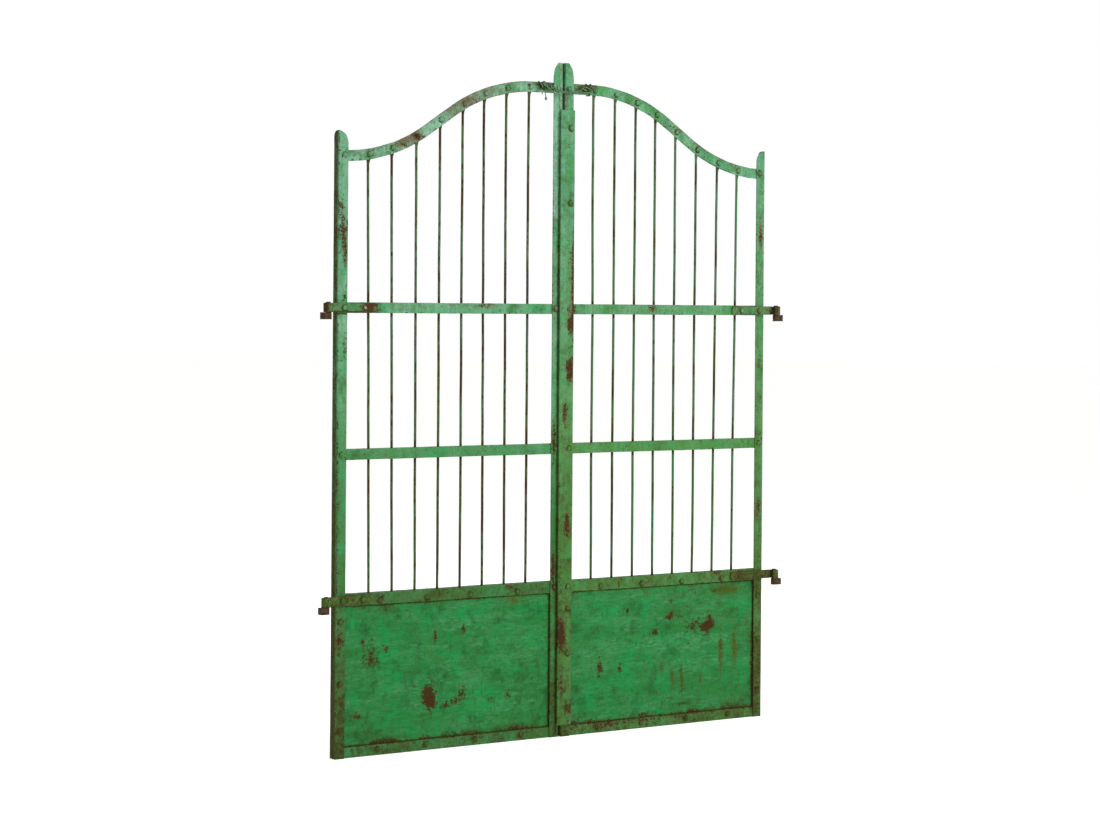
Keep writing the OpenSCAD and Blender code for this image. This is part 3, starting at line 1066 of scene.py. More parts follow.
@dataclass(frozen=True)
class RivetHeads:
    """Hand hammered rivet heads, front and back, grown on their points.

    Attributes:
        diameter: Width of a head.
        height: How far a front head stands proud.
        uneven: How far hammering moves a head's skin.
        seed: What picks the unevenness.
    """

    diameter: float = 14.8
    height: float = 5.0
    uneven: float = 1.3
    seed: int = 11

    def tree(self, look: Material) -> Tree:
        """A tree that sets a domed, closed head on each point, facing its normal.

        Args:
            look: The material of the heads.

        Returns:
            The closed tree.
        """
        made = Tree.begin(
            "rivet_heads",
            head_diameter=self.diameter * MM,
            head_height=self.height * MM,
            unevenness=self.uneven * MM,
            seed=self.seed,
        )
        g, size = made.group, made.size
        ball = add(g, "MeshUVSphere", {"Segments": 22, "Rings": 14, "Radius": 1.0})
        x, y, z = add(g, "SeparateXYZ", (add(g, "InputPosition"),)).node.outputs
        radius = add(g, "Math:MULTIPLY", (size["Head Diameter"], 0.5))
        across, along, raised, sunk = (
            add(g, "Math:MULTIPLY", pair)
            for pair in (
                (x, radius), (y, radius), (z, size["Head Height"]), (size["Head Height"], -0.12)
            )
        )
        shape = add(g, "CombineXYZ", (across, along, add(g, "Math:MAXIMUM", (raised, sunk))))
        crown = add(g, "Math:MAXIMUM", (z, 0.0))
        feeds = {"Geometry": ball, "Name": "crown", "Value": crown}
        kept = add(g, "StoreNamedAttribute", feeds, data_type="FLOAT", domain="POINT")
        dome = add(g, "SetPosition", {"Geometry": kept, "Position": shape})
        facing = add(g, "InputNamedAttribute", {"Name": "facing"}, data_type="FLOAT_VECTOR")
        turn = add(g, "AlignRotationToVector", {"Vector": facing}, axis="Z")
        spread = add(g, "InputNamedAttribute", {"Name": "spread"}, data_type="FLOAT")
        feeds = {"Points": size["Geometry"], "Instance": dome, "Rotation": turn, "Scale": spread}
        real = add(g, "RealizeInstances", (add(g, "InstanceOnPoints", feeds),))
        blow = made.sway(95.0, 2.0, size["Unevenness"])
        doubled = add(g, "VectorMath:SCALE", {0: blow, "Scale": 2.0})
        return made.end(add(g, "SetPosition", {"Geometry": real, "Offset": doubled}), look)

    def build(
        self, leaf: "Leaf", name: str, rivets: Sequence[Rivet], weather: Weather, finish: str
    ) -> None:
        """Grows the heads of one leaf that share a finish as one piece.

        Args:
            leaf: The leaf that carries them.
            name: Name of the piece on its leaf.
            rivets: Where they are.
            weather: How they have aged.
            finish: Name of their finish.
        """
        maker = leaf.maker
        rng = np.random.default_rng(self.seed)
        rows: list[tuple[float, ...]] = []
        for rivet in rivets:
            (dx, dz), (a, b) = rng.uniform(-0.8, 0.8, 2), rng.uniform(-0.10, 0.10, 2)
            wide, narrow = rng.uniform(0.92, 1.06), rng.uniform(0.82, 0.95)
            rows += [(rivet.x + dx, rivet.front, rivet.z + dz, a, -1.0, b, rivet.size * wide)]
            rows += [(rivet.x - dx, rivet.back, rivet.z - dz, b, 1.0, a, rivet.size * narrow)]
        table = np.array(rows)
        mesh = plain("rivet_points", leaf.to_row(table[:, :3]))
        put(mesh, "facing", table[:, 3:6])
        put(mesh, "spread", table[:, 6])
        piece = maker.grown(f"{leaf.side.value}.{name}", mesh, self.tree(maker.looks[finish]))
        crown = np.zeros(len(piece.data.vertices), np.float32)
        piece.data.attributes["crown"].data.foreach_get("value", crown)
        rim, arris = bell(crown, 0.30), 0.5 * (crown > 0.9)
        marks = weather.marks(maker.places(piece.data), arris, NO_RIVETS)
        # Each head is darker at its foot by its own share of grime, which also paints the shade in
        # the crevice round it.
        dirt = np.repeat(rng.uniform(0.25, 1.0, len(rows)), len(crown) // len(rows))
        marks[:, 1] += dirt * rim
        marks[:, 0] += 0.30 * np.maximum(dirt - 0.6, 0.0) * (0.4 + rim)
        marks[:, 2] += 0.9 * np.maximum(dirt - 0.55, 0.0) * crown**2
        maker.dress(piece, finish, leaf.body, (), marks, arris, 60.0)


@dataclass(frozen=True)
class DrawnBars:
    """Round bars forged flat at the head, a little bent by use.

    Attributes:
        diameter: Diameter of a bar.
        head_width: Width of the forged head.
        head_thickness: Thickness of the forged head.
        taper: Length over which a bar is drawn into its head.
        forward: How far the head lies in front of the bar's own line.
        bow: How far a bar wanders from straight.
        seed: What picks the bends.
    """

    diameter: float = 8.0
    head_width: float = 16.0
    head_thickness: float = 4.0
    taper: float = 35.0
    forward: float = 3.0
    bow: float = 1.5
    seed: int = 3

    def tree(self, look: Material) -> Tree:
        """A tree that draws a bar along each line of its mesh, from foot to head.

        Args:
            look: The material of the bars.

        Returns:
            The closed tree.
        """
        made = Tree.begin(
            "drawn_bars",
            bar_diameter=self.diameter * MM,
            head_width=self.head_width * MM,
            head_thickness=self.head_thickness * MM,
            taper=self.taper * MM,
            head_forward=self.forward * MM,
            bow=self.bow * MM,
            seed=self.seed,
        )
        g, size = made.group, made.size
        line = add(g, "MeshToCurve", {"Mesh": size["Geometry"]})
        fine = add(g, "ResampleCurve", {"Curve": line, "Length": 0.008}, mode="LENGTH")
        run = add(g, "SplineParameter", out="Length")
        left = add(g, "Math:SUBTRACT", (add(g, "SplineLength", out="Length"), run))
        share = add(g, "Math:DIVIDE", (left, size["Taper"]))
        fall = {"Value": share, "From Min": 0.45, "From Max": 1.15, "To Min": 1.0, "To Max": 0.0}
        drawn = add(g, "MapRange", fall, interpolation_type="SMOOTHSTEP")
        # The bar bends between its rails and not in its head.
        reach = add(g, "Math:MULTIPLY", (size["Bow"], 4.0))
        held = add(g, "Math:MULTIPLY", (reach, add(g, "Math:SUBTRACT", (1.0, drawn))))
        bend = add(g, "VectorMath:MULTIPLY", (made.sway(2.6, 2.0, held), (1.0, 0.5, 0.0)))
        axis = g.nodes.new("GeometryNodeCaptureAttribute")
        g.links.new(add(g, "SetPosition", {"Geometry": fine, "Offset": bend}), axis.inputs[0])
        for kind, value in (("VECTOR", add(g, "InputPosition")), ("FLOAT", drawn), ("FLOAT", left)):
            axis.capture_items.new(kind, f"Kept {len(axis.capture_items)}")
            g.links.new(value, axis.inputs[len(axis.capture_items)])
        bent, middle, drawn, left = tuple(axis.outputs)[:4]
        ring = add(g, "CurvePrimitiveCircle", {"Resolution": 14, "Radius": 0.5})
        feeds = {"Curve": bent, "Profile Curve": ring, "Scale": size["Bar Diameter"]}
        bar = add(g, "CurveToMesh", feeds | {"Fill Caps": True})
        # The head is wide and thin, and round at its end.
        off = add(g, "VectorMath:SUBTRACT", (add(g, "InputPosition"), middle))
        widen, thin = (
            add(g, "Math:DIVIDE", (size[of], size["Bar Diameter"]))
            for of in ("Head Width", "Head Thickness")
        )
        half = add(g, "Math:MULTIPLY", (size["Head Width"], 0.5))
        inward = add(g, "Math:SUBTRACT", (1.0, add(g, "Math:DIVIDE", (left, half), use_clamp=True)))
        rest = add(g, "Math:SUBTRACT", (1.04, add(g, "Math:POWER", (inward, 2.0))))
        rounded = add(g, "Math:MULTIPLY", (widen, add(g, "Math:SQRT", (rest,))))
        sx, sy = (add(g, "Mix", {0: drawn, 2: 1.0, 3: most}) for most in (rounded, thin))
        scale = add(g, "CombineXYZ", (sx, sy, 1.0))
        shaped = add(g, "VectorMath:MULTIPLY", (off, scale))
        again = add(g, "VectorMath:ADD", (shaped, middle))
        ahead = add(g, "Math:MULTIPLY", (drawn, size["Head Forward"]))
        shift = add(g, "CombineXYZ", {1: add(g, "Math:MULTIPLY", (ahead, -1.0))})
        feeds = {"Geometry": bar, "Position": again, "Offset": shift}
        return made.end(add(g, "SetPosition", feeds), look)


@dataclass(frozen=True)
class WireRun:
    """Soft iron wire that follows paths of points.

    Attributes:
        body: The body that the wire rides on.
        shadow: Depth behind which the wire is painted nearly black, as the shade on its back and in
            the knots, in gate millimetres.
        diameter: Diameter of the wire.
        kink: How far handling has pushed it off its path.
        seed: What picks the kinks.
    """

    body: str
    shadow: float
    diameter: float = 3.0
    kink: float = 0.35
    seed: int = 21

    def tree(self, look: Material) -> Tree:
        """A tree that draws wire along each chain of its mesh.

        Args:
            look: The material of the wire.

        Returns:
            The closed tree.
        """
        made = Tree.begin(
            "wire_run", wire_diameter=self.diameter * MM, kink=self.kink * MM, seed=self.seed
        )
        g, size = made.group, made.size
        line = add(g, "MeshToCurve", {"Mesh": size["Geometry"]})
        smooth = add(g, "CurveSplineType", {"Curve": line}, spline_type="CATMULL_ROM")
        fine = add(g, "ResampleCurve", {"Curve": smooth, "Length": 0.0014}, mode="LENGTH")
        more = add(g, "VectorMath:SCALE", {0: made.sway(90.0, 1.0, size["Kink"]), "Scale": 3.0})
        bent = add(g, "SetPosition", {"Geometry": fine, "Offset": more})
        ring = add(g, "CurvePrimitiveCircle", {"Resolution": 12, "Radius": 0.5})
        thick = add(g, "InputNamedAttribute", {"Name": "thick"}, data_type="FLOAT")
        wide = add(g, "Math:MULTIPLY", (thick, size["Wire Diameter"]))
        feeds = {"Curve": bent, "Profile Curve": ring, "Scale": wide, "Fill Caps": True}
        return made.end(add(g, "CurveToMesh", feeds), look)

    def build(
        self, maker: Maker, name: str, node: str, paths: Sequence[tuple[Array, Array]]
    ) -> None:
        """Draws several runs of wire as one piece.

        Args:
            maker: What makes and seats pieces.
            name: Name of the piece.
            node: The node it stands for.
            paths: For each run its points in gate millimetres and its thickness at each.
        """
        edges: list[tuple[int, int]] = []
        start = 0
        for path, _ in paths:
            edges += [(start + i, start + i + 1) for i in range(len(path) - 1)]
            start += len(path)
        points = maker.gate.to_row(np.vstack([path for path, _ in paths]))
        mesh = plain(f"{name}_path", points, edges)
        put(mesh, "thick", np.concatenate([thick for _, thick in paths]))
        piece = maker.grown(name, mesh, self.tree(maker.looks["wire"]))
        at = maker.places(piece.data)
        arris = np.zeros(len(at))
        marks = Weather(rust=0.12, grime=0.2, foot_grime=0.0).marks(at, arris, NO_RIVETS)
        # Painted shade: the wire darkens towards its back, away from the light.
        marks[:, 1] += 1.5 * np.clip((at[:, 1] - self.shadow) / 2.5, 0.0, 1.0)
        maker.dress(piece, "wire", self.body, (node,), marks, arris)


# -- The leaf and its parts -----------------------------------------------------------------------


@dataclass(frozen=True)
class Ogee:
    """The middle line of the top rail: level, curve, straight, counter curve, level.

    Attributes:
        low: Height of the line at the hinge stile.
        high: Height of the line at the meeting stile.
        start: Where the first curve begins.
        end: Where the second curve ends.
        slope: Steepest slope, in degrees.
        straight: Length of the straight between the curves.
    """

    low: float
    high: float
    start: float
    end: float
    slope: float = 34.0
    straight: float = 111.0

    def at(self, x: float) -> tuple[float, float]:
        """Height of the line and its slope in radians.

        Args:
            x: Distance from the leaf's outer edge.

        Returns:
            The height and the slope.
        """
        tilt = math.radians(self.slope)
        run = (self.end - self.start - self.straight * math.cos(tilt)) / 2
        radius = run / math.sin(tilt)
        if x <= self.start:
            return self.low, 0.0
        if x >= self.end:
            return self.high, 0.0
        if x <= self.start + run:
            a = math.asin((x - self.start) / radius)
            return self.low + radius * (1 - math.cos(a)), a
        if x >= self.end - run:
            a = math.asin((self.end - x) / radius)
            return self.high - radius * (1 - math.cos(a)), a
        rise = radius * (1 - math.cos(tilt))
        return self.low + rise + (x - self.start - run) * math.tan(tilt), tilt


# Leg width of each rail's angle iron, in the order in which the rails are made.
RAIL_LEGS = {"upper": 32.0, "middle": 32.0, "lower": 35.0, "bottom": 32.0}


@dataclass
class Leaf:
    """One leaf of the gate, with every part that swings with it.

    Attributes:
        frame: Where it hangs.
        maker: What makes and seats its pieces.
        stains: The marks on each kind of part.
        soil: Grime over the whole leaf.
        stile_leg: Leg width of the stiles.
        stile_t: Thickness of the stiles.
        rail_t: Thickness of the rails.
        root: Radius in the inner corner of the angle iron.
        hinge_head: Radius that rounds the front flange of the hinge stile at its head.
        meeting_head: Height of the chamfer at the head of the meeting stile.
        chamfer: Width of that chamfer.
        taper: Width that the meeting stile's front flange loses below its chamfer.
        taper_h: Distance below its head at which it starts to narrow.
        flange_head: Radius that rounds the side flanges at their heads.
        crown: Length of a stile's head over which its rings stand ever closer.
        rail_height: Height of the top rail's flat bar.
        rail_thick: Its thickness.
        bar_pitch: Distance from bar to bar.
        bar_lean: How far each bar's head stands from above its foot.
        bar_foot: How far the bars stand below the lower rail's flange.
        panel_t: Thickness of the sheet.
        strip_t: Thickness of the cover strip.
        strap_reach: Length of a strap over the leaf.
        strap_thick: Thickness of a strap.
        axis_out: Distance from the leaf's outer edge to the pins.
        eye_wrap: Angle that a rolled end turns through, in degrees.
        pin_room: Radius of the bore of an eye.
    """

    frame: LeafFrame
    maker: Maker
    stains: Mapping[str, Mapping[Mark, Sequence[tuple[float, ...]]]]
    soil: float
    stile_leg: float = 32.0
    stile_t: float = 4.0
    rail_t: float = 4.0
    root: float = 3.0
    hinge_head: float = 36.0
    meeting_head: float = 20.0
    chamfer: float = 14.0
    taper: float = 4.0
    taper_h: float = 47.0
    flange_head: float = 18.0
    crown: float = 48.0
    rail_height: float = 33.0
    rail_thick: float = 5.0
    bar_pitch: float = 79.5
    bar_lean: tuple[float, ...] = (-12, -11, -5, -1, 0, -3, -2, 1)
    bar_foot: float = 9.0
    panel_t: float = 1.5
    strip_t: float = 5.0
    strap_reach: float = 129.0
    strap_thick: float = 6.0
    axis_out: float = 40.0
    eye_wrap: float = 227.0
    pin_room: float = 8.5

    def __post_init__(self) -> None:
        """Reads the heights of the leaf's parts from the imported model, and plans its rivets."""
        self.side = self.frame.side
        self.left = self.side is Side.LEFT
        self.body = f"{self.side.value}_leaf"
        self.paint = "frame" if self.left else "shaded"
        (_, _, low), (_, _, high) = self.span("top_rail")
        half = self.rail_height / 2
        self.ogee = Ogee(float(low) + half, float(high) - half, 10.0, self.frame.width - 102.0)
        first = (self.frame.width - (len(self.bar_lean) - 1) * self.bar_pitch) / 2
        self.heads = [first + i * self.bar_pitch + lean for i, lean in enumerate(self.bar_lean)]
        self.rivets = self.plan_rivets()
        spots = np.array([(rivet.x, 0.0, rivet.z) for rivet in self.rivets])
        self.rivet_spots = self.frame.to_gate(spots)[:, [0, 2]]

    @property
    def inset(self) -> float:
        """Distance from the leaf's edge to the end of a rail, clear of the stile's root."""
        return self.stile_t + self.root + 1.0

    def node(self, name: str) -> str:
        """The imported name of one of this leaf's parts."""
        return name if name == "cover_strip" else f"{self.side.value}_{name}"

    def span(self, name: str) -> Array:
        """The low and the high corner of a part, in gate millimetres."""
        return self.maker.gate.box(self.node(name))

    def top_of(self, name: str) -> float:
        """Height of the top of a part."""
        return float(self.span(name)[1][2])

    def to_row(self, points: Array) -> Array:
        """Turns leaf millimetres into row metres."""
        return self.maker.gate.to_row(self.frame.to_gate(points))

    def seed(self, base: int) -> int:
        """A seed that differs from leaf to leaf."""
        return base if self.left else base + 500

    def stained(self, *kinds: str) -> tuple[Stain, ...]:
        """The stains of these kinds of part."""
        marked = [pair for kind in kinds for pair in self.stains.get(kind, {}).items()]
        return tuple(Stain(mark, *row) for mark, rows in marked for row in rows)

    def plan_rivets(self) -> list[Rivet]:
        """Lists every rivet of the leaf.

        Returns:
            The rivets, in the order in which they are made.
        """
        left, width, face = self.left, self.frame.width, 0.0 if self.left else -self.strip_t
        front, back = self.stile_t, self.stile_t + self.rail_t
        sheet, top = back + self.panel_t, front + self.rail_thick
        inner, strap = width - (18.5 if left else 20.0), self.strap_thick
        plan = [Rivet(20.0, self.ogee.at(20.0)[0] + 3, 0.0, top)]
        plan += [Rivet(width - 14.0, self.ogee.high - 1, 0.0, top)]
        plan += [Rivet(x, self.ogee.at(x)[0], front, top + 4.0) for x in self.heads]
        for name in ("upper", "middle", "lower"):
            middle = self.top_of(f"{name}_rail") - RAIL_LEGS[name] / 2
            plan += [Rivet(inner, middle + 1.0, face, back)]
            if name == "middle":
                plan += [Rivet(17.0, middle, 0.0, back)]
                continue
            rubbed = left and name == "upper"
            plan += [Rivet(21.0, middle, -strap, back, 1.08)]
            plan += [Rivet(91.0, middle, front - strap, back, 1.08, rubbed)]
        upper = (153.0, 316.0, 469.0, 640.0) if left else (163.0, 323.0, 482.0, 642.0)
        lower = (148.0, 314.0, 488.0, 656.0) if left else (134.0, 304.0, 482.0, 652.0)
        for xs, z in ((upper, self.top_of("lower_rail") - 23.0), (lower, 19.0)):
            plan += [Rivet(x, z, front, sheet, 0.95) for x in xs]
        side = (407.0, 224.0, 83.0) if left else (402.0, 260.0, 89.0)
        plan += [Rivet(17.0, z, 0.0, sheet) for z in side]
        if not left:
            plan += [Rivet(inner, z, face, front) for z in (1913.0, 1677.0)]
            plan += [Rivet(inner, z, face, sheet) for z in (402.0, 264.0, 91.0)]
        return plan

    def place(
        self,
        name: str,
        skin: Skin,
        finish: str,
        weather: Weather | None = None,
        **shares: float,
    ) -> None:
        """Makes one solid piece of the leaf from a skin in its frame.

        Args:
            name: Name of the part.
            skin: Its mesh, in leaf millimetres.
            finish: Name of its finish.
            weather: How it has aged, if not by its shares.
            **shares: What its weather has in place of the usual shares.
        """
        mesh = plain(f"{self.side.value}.{name}", self.to_row(skin.points), (), skin.faces)
        outward(mesh)
        aged, at = weather or self.weather(name, **shares), self.maker.places(mesh)
        marks = aged.marks(at, skin.arris, self.rivet_spots)
        marks[:, 1] += skin.soil
        piece = linked(mesh.name, mesh)
        self.maker.dress(piece, finish, self.body, (self.node(name),), marks, skin.arris)

    def weather(self, kind: str, grime: float = 0.0, **shares: float) -> Weather:
        """How a kind of part of this leaf has aged."""
        return Weather(grime=grime + self.soil, stains=self.stained(kind), **shares)

    def head_width(self, below: float, radius: float, taper: float, taper_h: float) -> float:
        """Width of a flange near the head of a stile.

        Args:
            below: Distance below the head.
            radius: Radius that rounds the flange, or height of its chamfer.
            taper: Width that the flange loses below that.
            taper_h: Distance below the head at which it starts to narrow.

        Returns:
            The width.
        """
        if below >= max(radius, taper_h):
            return self.stile_leg
        if below >= radius:
            return self.stile_leg - taper * (taper_h - below) / (taper_h - radius)
        if taper:
            return self.stile_leg - taper - self.chamfer * (1.0 - (below / radius) ** 0.9)
        bulge = math.sqrt(max(0.0, radius**2 - (radius - below) ** 2))
        return max(self.stile_t + 0.3, self.stile_leg - taper - radius + bulge)

    def build_stile(self, name: str) -> None:
        """Builds a stile of angle iron with its side flange on the outside of the leaf.

        Args:
            name: Which stile.
        """
        meeting = name == "meeting_stile"
        leg, t, head = self.stile_leg, self.stile_t, self.top_of(name)
        clip = (self.hinge_head, 0.0, 0.0)
        if meeting:
            clip = (self.meeting_head, self.taper, self.taper_h)

        def corners(width: float, depth: float) -> Corners:
            """Corners of the section where its flanges are this wide.

            Args:
                width: Width of the front flange.
                depth: Width of the side flange.

            Returns:
                X, Y and radius of each corner.
            """
            toe, heel = min(1.0, (width - t) * 0.4), min(1.0, (depth - t) * 0.4)
            root = min(self.root, (width - t) * 0.5)
            outside = ((0.0, 0.0, 1.2), (width, 0.0, toe), (width, t, toe))
            return (*outside, (t, t, root), (t, depth, heel), (0.0, depth, heel))

        section = Section(corners(leg, leg))
        steps = 1.0 - np.linspace(0.0, 1.0, 34) ** 1.6
        shaft = np.arange(0.0, head - self.crown - 3.0, 6.0)
        heights = np.concatenate((shaft, head - self.crown * np.sort(steps)[::-1]))
        heights[-1] = head
        side = (self.flange_head, 0.0, 0.0)
        flanges = [
            corners(self.head_width(below, *clip), self.head_width(below, *side))
            for below in head - heights
        ]
        line = heights[:, None]
        held = np.clip(1.0 - np.abs(heights - head / 2) / (head / 2), 0.0, 1.0)
        way = -1.0 if meeting else 1.0
        lean = way * 0.6 * np.maximum(0.0, ripple(line, 700.0, self.seed(33 + meeting)) * held)
        bow = 0.5 * ripple(line, 900.0, self.seed(31 + meeting)) * held
        origins = np.column_stack(((self.frame.width if meeting else 0.0) + lean, bow, heights))
        outlines = np.array([section.points(flange) for flange in flanges])
        skin = section.along(origins, way * ALONG, BACK, outlines)
        skin.points[:, 1] += 0.18 * ripple(skin.points, 38.0, self.seed(35))
        worn = 0.3 + 0.7 * skin.arris
        skin.points[:, 0] += 0.15 * ripple(skin.points, 44.0, self.seed(36)) * worn
        # Grime on the side flange, most on its outer face, which also paints the shade that falls on
        # that side of the stile.
        across, depth = np.tile(section.points().T[:2], len(heights))
        outside = np.where(across < 1.0, 0.30 if meeting else 0.80, 0.50)
        skin.soil = outside * np.clip((depth - 3.0) / 6.0, 0.0, 1.0)
        self.place(name, skin, self.paint, arris_rust=0.3)

    def build_rail(self, name: str, leg: float, flange_up: bool) -> None:
        """Builds a rail of angle iron between the stiles.

        Args:
            name: Which rail.
            leg: Leg width.
            flange_up: Whether its level flange is at its top.
        """
        t, way = self.rail_t, -1.0 if flange_up else 1.0
        level = float(self.span(name)[1 if flange_up else 0][2])
        face = ((0.0, 0.0, 1.2), (0.0, way * leg, 1.0), (t, way * leg, 1.0))
        section = Section((*face, (t, way * t, self.root), (leg, way * t, 1.0), (leg, 0.0, 1.0)))
        stations = np.arange(self.inset, self.frame.width - self.inset + 0.1, 5.0)
        stations[-1] = self.frame.width - self.inset
        flat = np.ones(len(stations))
        origins = np.column_stack((stations, self.stile_t * flat, level * flat))
        skin = section.along(origins, BACK, UP)
        salt = sum(map(ord, name))
        skin.points[:, 1] += 0.2 * ripple(skin.points, 42.0, self.seed(salt))
        lift = 0.35 * ripple(skin.points[:, :1], 190.0, self.seed(salt + 1))
        skin.points[:, 2] += lift if flange_up else np.maximum(lift, 0.0)
        skin.points[:, 2] += 0.25 * ripple(skin.points, 26.0, self.seed(salt + 2)) * skin.arris
        shares = {"grime": 0.20 if self.node(name) == "left_lower_rail" else 0.0}
        if not flange_up:
            shares = {"rust": 0.26, "foot_grime": 0.44}
        self.place(name, skin, self.paint, **shares)

    def build_top_rail(self) -> None:
        """Builds the flat bar bent edgewise into an ogee."""
        half = self.rail_height / 2
        section = Section.flat((0.0, self.rail_thick), (-half, half), 1.0, 1.0, step=3.5)
        xs: list[float] = [self.inset]
        while xs[-1] < self.frame.width - self.inset:
            xs.append(xs[-1] + 4.5 * math.cos(self.ogee.at(xs[-1])[1]))
        xs[-1] = self.frame.width - self.inset
        line = [self.ogee.at(x) for x in xs]
        origins = np.array([(x, self.stile_t, height) for x, (height, _) in zip(xs, line)])
        up = np.array([(-math.sin(slope), 0.0, math.cos(slope)) for _, slope in line])
        skin = section.along(origins, BACK, up)
        skin.points[:, 1] += 0.35 * ripple(skin.points, 60.0, self.seed(41))
        skin.points[:, 2] += 0.5 * ripple(skin.points[:, :1], 75.0, self.seed(42))
        skin.points[:, 2] += 0.35 * ripple(skin.points, 22.0, self.seed(43)) * skin.arris
        edge = (skin.points[:, 2] - np.repeat(origins[:, 2], len(section.points()))) / half
        skin.soil = 0.25 * np.clip(edge, 0.0, 1.0)
        self.place("top_rail", skin, self.paint, rust=0.16, arris_rust=0.36, foot_grime=0.0)

    def build_panel(self) -> None:
        """Builds the kick panel: thin sheet, drawn tight at its rivets and dented between."""
        (_, _, bottom), (_, _, top) = self.span("kick_panel")
        width, leg, side = self.frame.width, self.stile_leg, self.stile_t + 2.0
        levels = (RAIL_LEGS["bottom"], self.top_of("lower_rail") - RAIL_LEGS["lower"])
        # A grid of 5 mm, finer beside the flanges, where the dirt lies in a line.
        near = np.array((-6.0, -3.0, -1.0, 1.0, 3.0, 6.0))
        xs, zs = (
            np.unique(np.concatenate([np.linspace(first, last, count)] + [e + near for e in edges]))
            for first, last, count, edges in (
                (side, width - side, 157, (leg, width - leg)), (bottom, top, 93, levels)
            )
        )
        x, z = (axis.ravel() for axis in np.meshgrid(xs, zs, indexing="ij"))
        rim = np.minimum.reduce([x - 30.0, width - 30.0 - x, z - 30.0, top - 22.0 - z])
        flat = np.column_stack((x, z))
        bulge = 2.2 * ripple(flat, 420.0, self.seed(51)) + 0.9 * ripple(flat, 130.0, self.seed(52))
        bulge += 0.35 * ripple(flat, 45.0, self.seed(53))
        depth = self.stile_t + self.rail_t + np.clip(rim / 60.0, 0.0, 1.0) ** 1.3 * bulge
        front, back = (np.column_stack((x, y, z)) for y in (depth, depth + self.panel_t))
        nx, nz, total = len(xs), len(zs), len(flat)
        faces: list[tuple[int, ...]] = []
        for i in range(nx - 1):
            for a in range(i * nz, i * nz + nz - 1):
                b, c, d = a + nz, a + nz + 1, a + 1
                faces += [(a, b, c, d), (d + total, c + total, b + total, a + total)]
        loop = [i * nz for i in range(nx)] + [(nx - 1) * nz + k for k in range(1, nz)]
        loop += [i * nz + nz - 1 for i in range(nx - 2, -1, -1)] + list(range(nz - 2, 0, -1))
        for a, b in zip(loop, loop[1:] + loop[:1]):
            faces.append((b, a, a + total, b + total))
        arris = np.zeros(2 * total)
        arris[loop + [a + total for a in loop]] = 0.8
        seam = self.frame.half_seam
        weather = PanelWeather(
            rust=0.08, grime=0.0, foot_grime=0.08, stains=self.stained("kick_panel"),
            low=levels[0], high=levels[1], inner=seam + leg, outer=seam + width - leg,
        )
        self.place("kick_panel", Skin(np.vstack((front, back)), faces, arris), "sheet", weather)

    def build_strip(self) -> None:
        """Builds the flat bar that covers the seam."""
        low, high = self.span("cover_strip")
        width, thick = float(high[0] - low[0]), float(high[1] - low[1])
        start = self.frame.half_seam + self.frame.width - float(high[0])
        section = Section.flat((0.0, width), (-thick, 0.0), 1.3, 0.8)
        heights = np.linspace(float(low[2]), float(high[2]), 330)
        origins = np.column_stack((np.full(330, start), np.zeros(330), heights))
        skin = section.along(origins, ALONG, BACK)
        waver = 0.5 * ripple(skin.points[:, 2:], 240.0, 61) + 0.35 * ripple(skin.points, 30.0, 62)
        inward = np.where(
            skin.points[:, 0] - start > width / 2, np.minimum(waver, 0.2), np.maximum(waver, -0.2)
        )
        skin.points[:, 0] += inward * skin.arris
        skin.points[:, 1] += 0.2 * ripple(skin.points, 45.0, 63) * (skin.points[:, 1] < -1)
        shares = {"rust": 0.10, "grime": 0.08, "foot": 1300.0, "foot_grime": 0.30}
        self.place("cover_strip", skin, self.paint, **shares)

    def build_bars(self) -> None:
        """Grows the bars on their lines, from below the lower rail to behind the top rail."""
        bars = DrawnBars(seed=self.seed(3))
        depth = self.stile_t + self.rail_t + bars.diameter / 2 + 2.0
        foot = self.top_of("lower_rail") - self.rail_t - self.bar_foot
        ends: list[tuple[float, float, float]] = []
        for x, lean in zip(self.heads, self.bar_lean):
            ends.append((x - lean, depth, foot))
            ends.append((x, depth, self.ogee.at(x)[0] + bars.head_width / 2))
        lines = [(i, i + 1) for i in range(0, len(ends), 2)]
        mesh = plain("bar_lines", self.to_row(np.array(ends)), lines)
        tree = bars.tree(self.maker.looks["bars"])
        piece = self.maker.grown(f"{self.side.value}.bars", mesh, tree)
        at = self.maker.places(piece.data)
        arris = np.zeros(len(at))
        rust, grime = (0.42, 0.46) if self.left else (0.18, 0.20)
        weather = self.weather("bars", rust=rust, grime=grime, foot_grime=0.15)
        marks = weather.marks(at, arris, NO_RIVETS)
        # Dirt lies on the rails, and a painted shadow falls black on each bar just under them.
        tops = np.array([self.top_of(f"{name}_rail") for name in ("upper", "middle", "lower")])
        above, below = (
            np.abs(at[:, 2:] - edges[None, :]).min(axis=1)
            for edges in (tops, tops - RAIL_LEGS["lower"])
        )
        under_rail_shadow = bell(below, 7.0)
        worn = ripple(coords(piece.data) / MM, 150.0, self.seed(71))
        marks[:, 1] += 0.8 * bell(above, 10.0) + 1.7 * under_rail_shadow + 0.55 * worn
        marks[:, 0] += 0.25 * bell(above, 12.0) + 0.30 * np.maximum(worn, 0.0)
        marks[:, 0] *= 1.0 - under_rail_shadow
        self.maker.dress(piece, "bars", self.body, (self.node("bars"),), marks, arris)

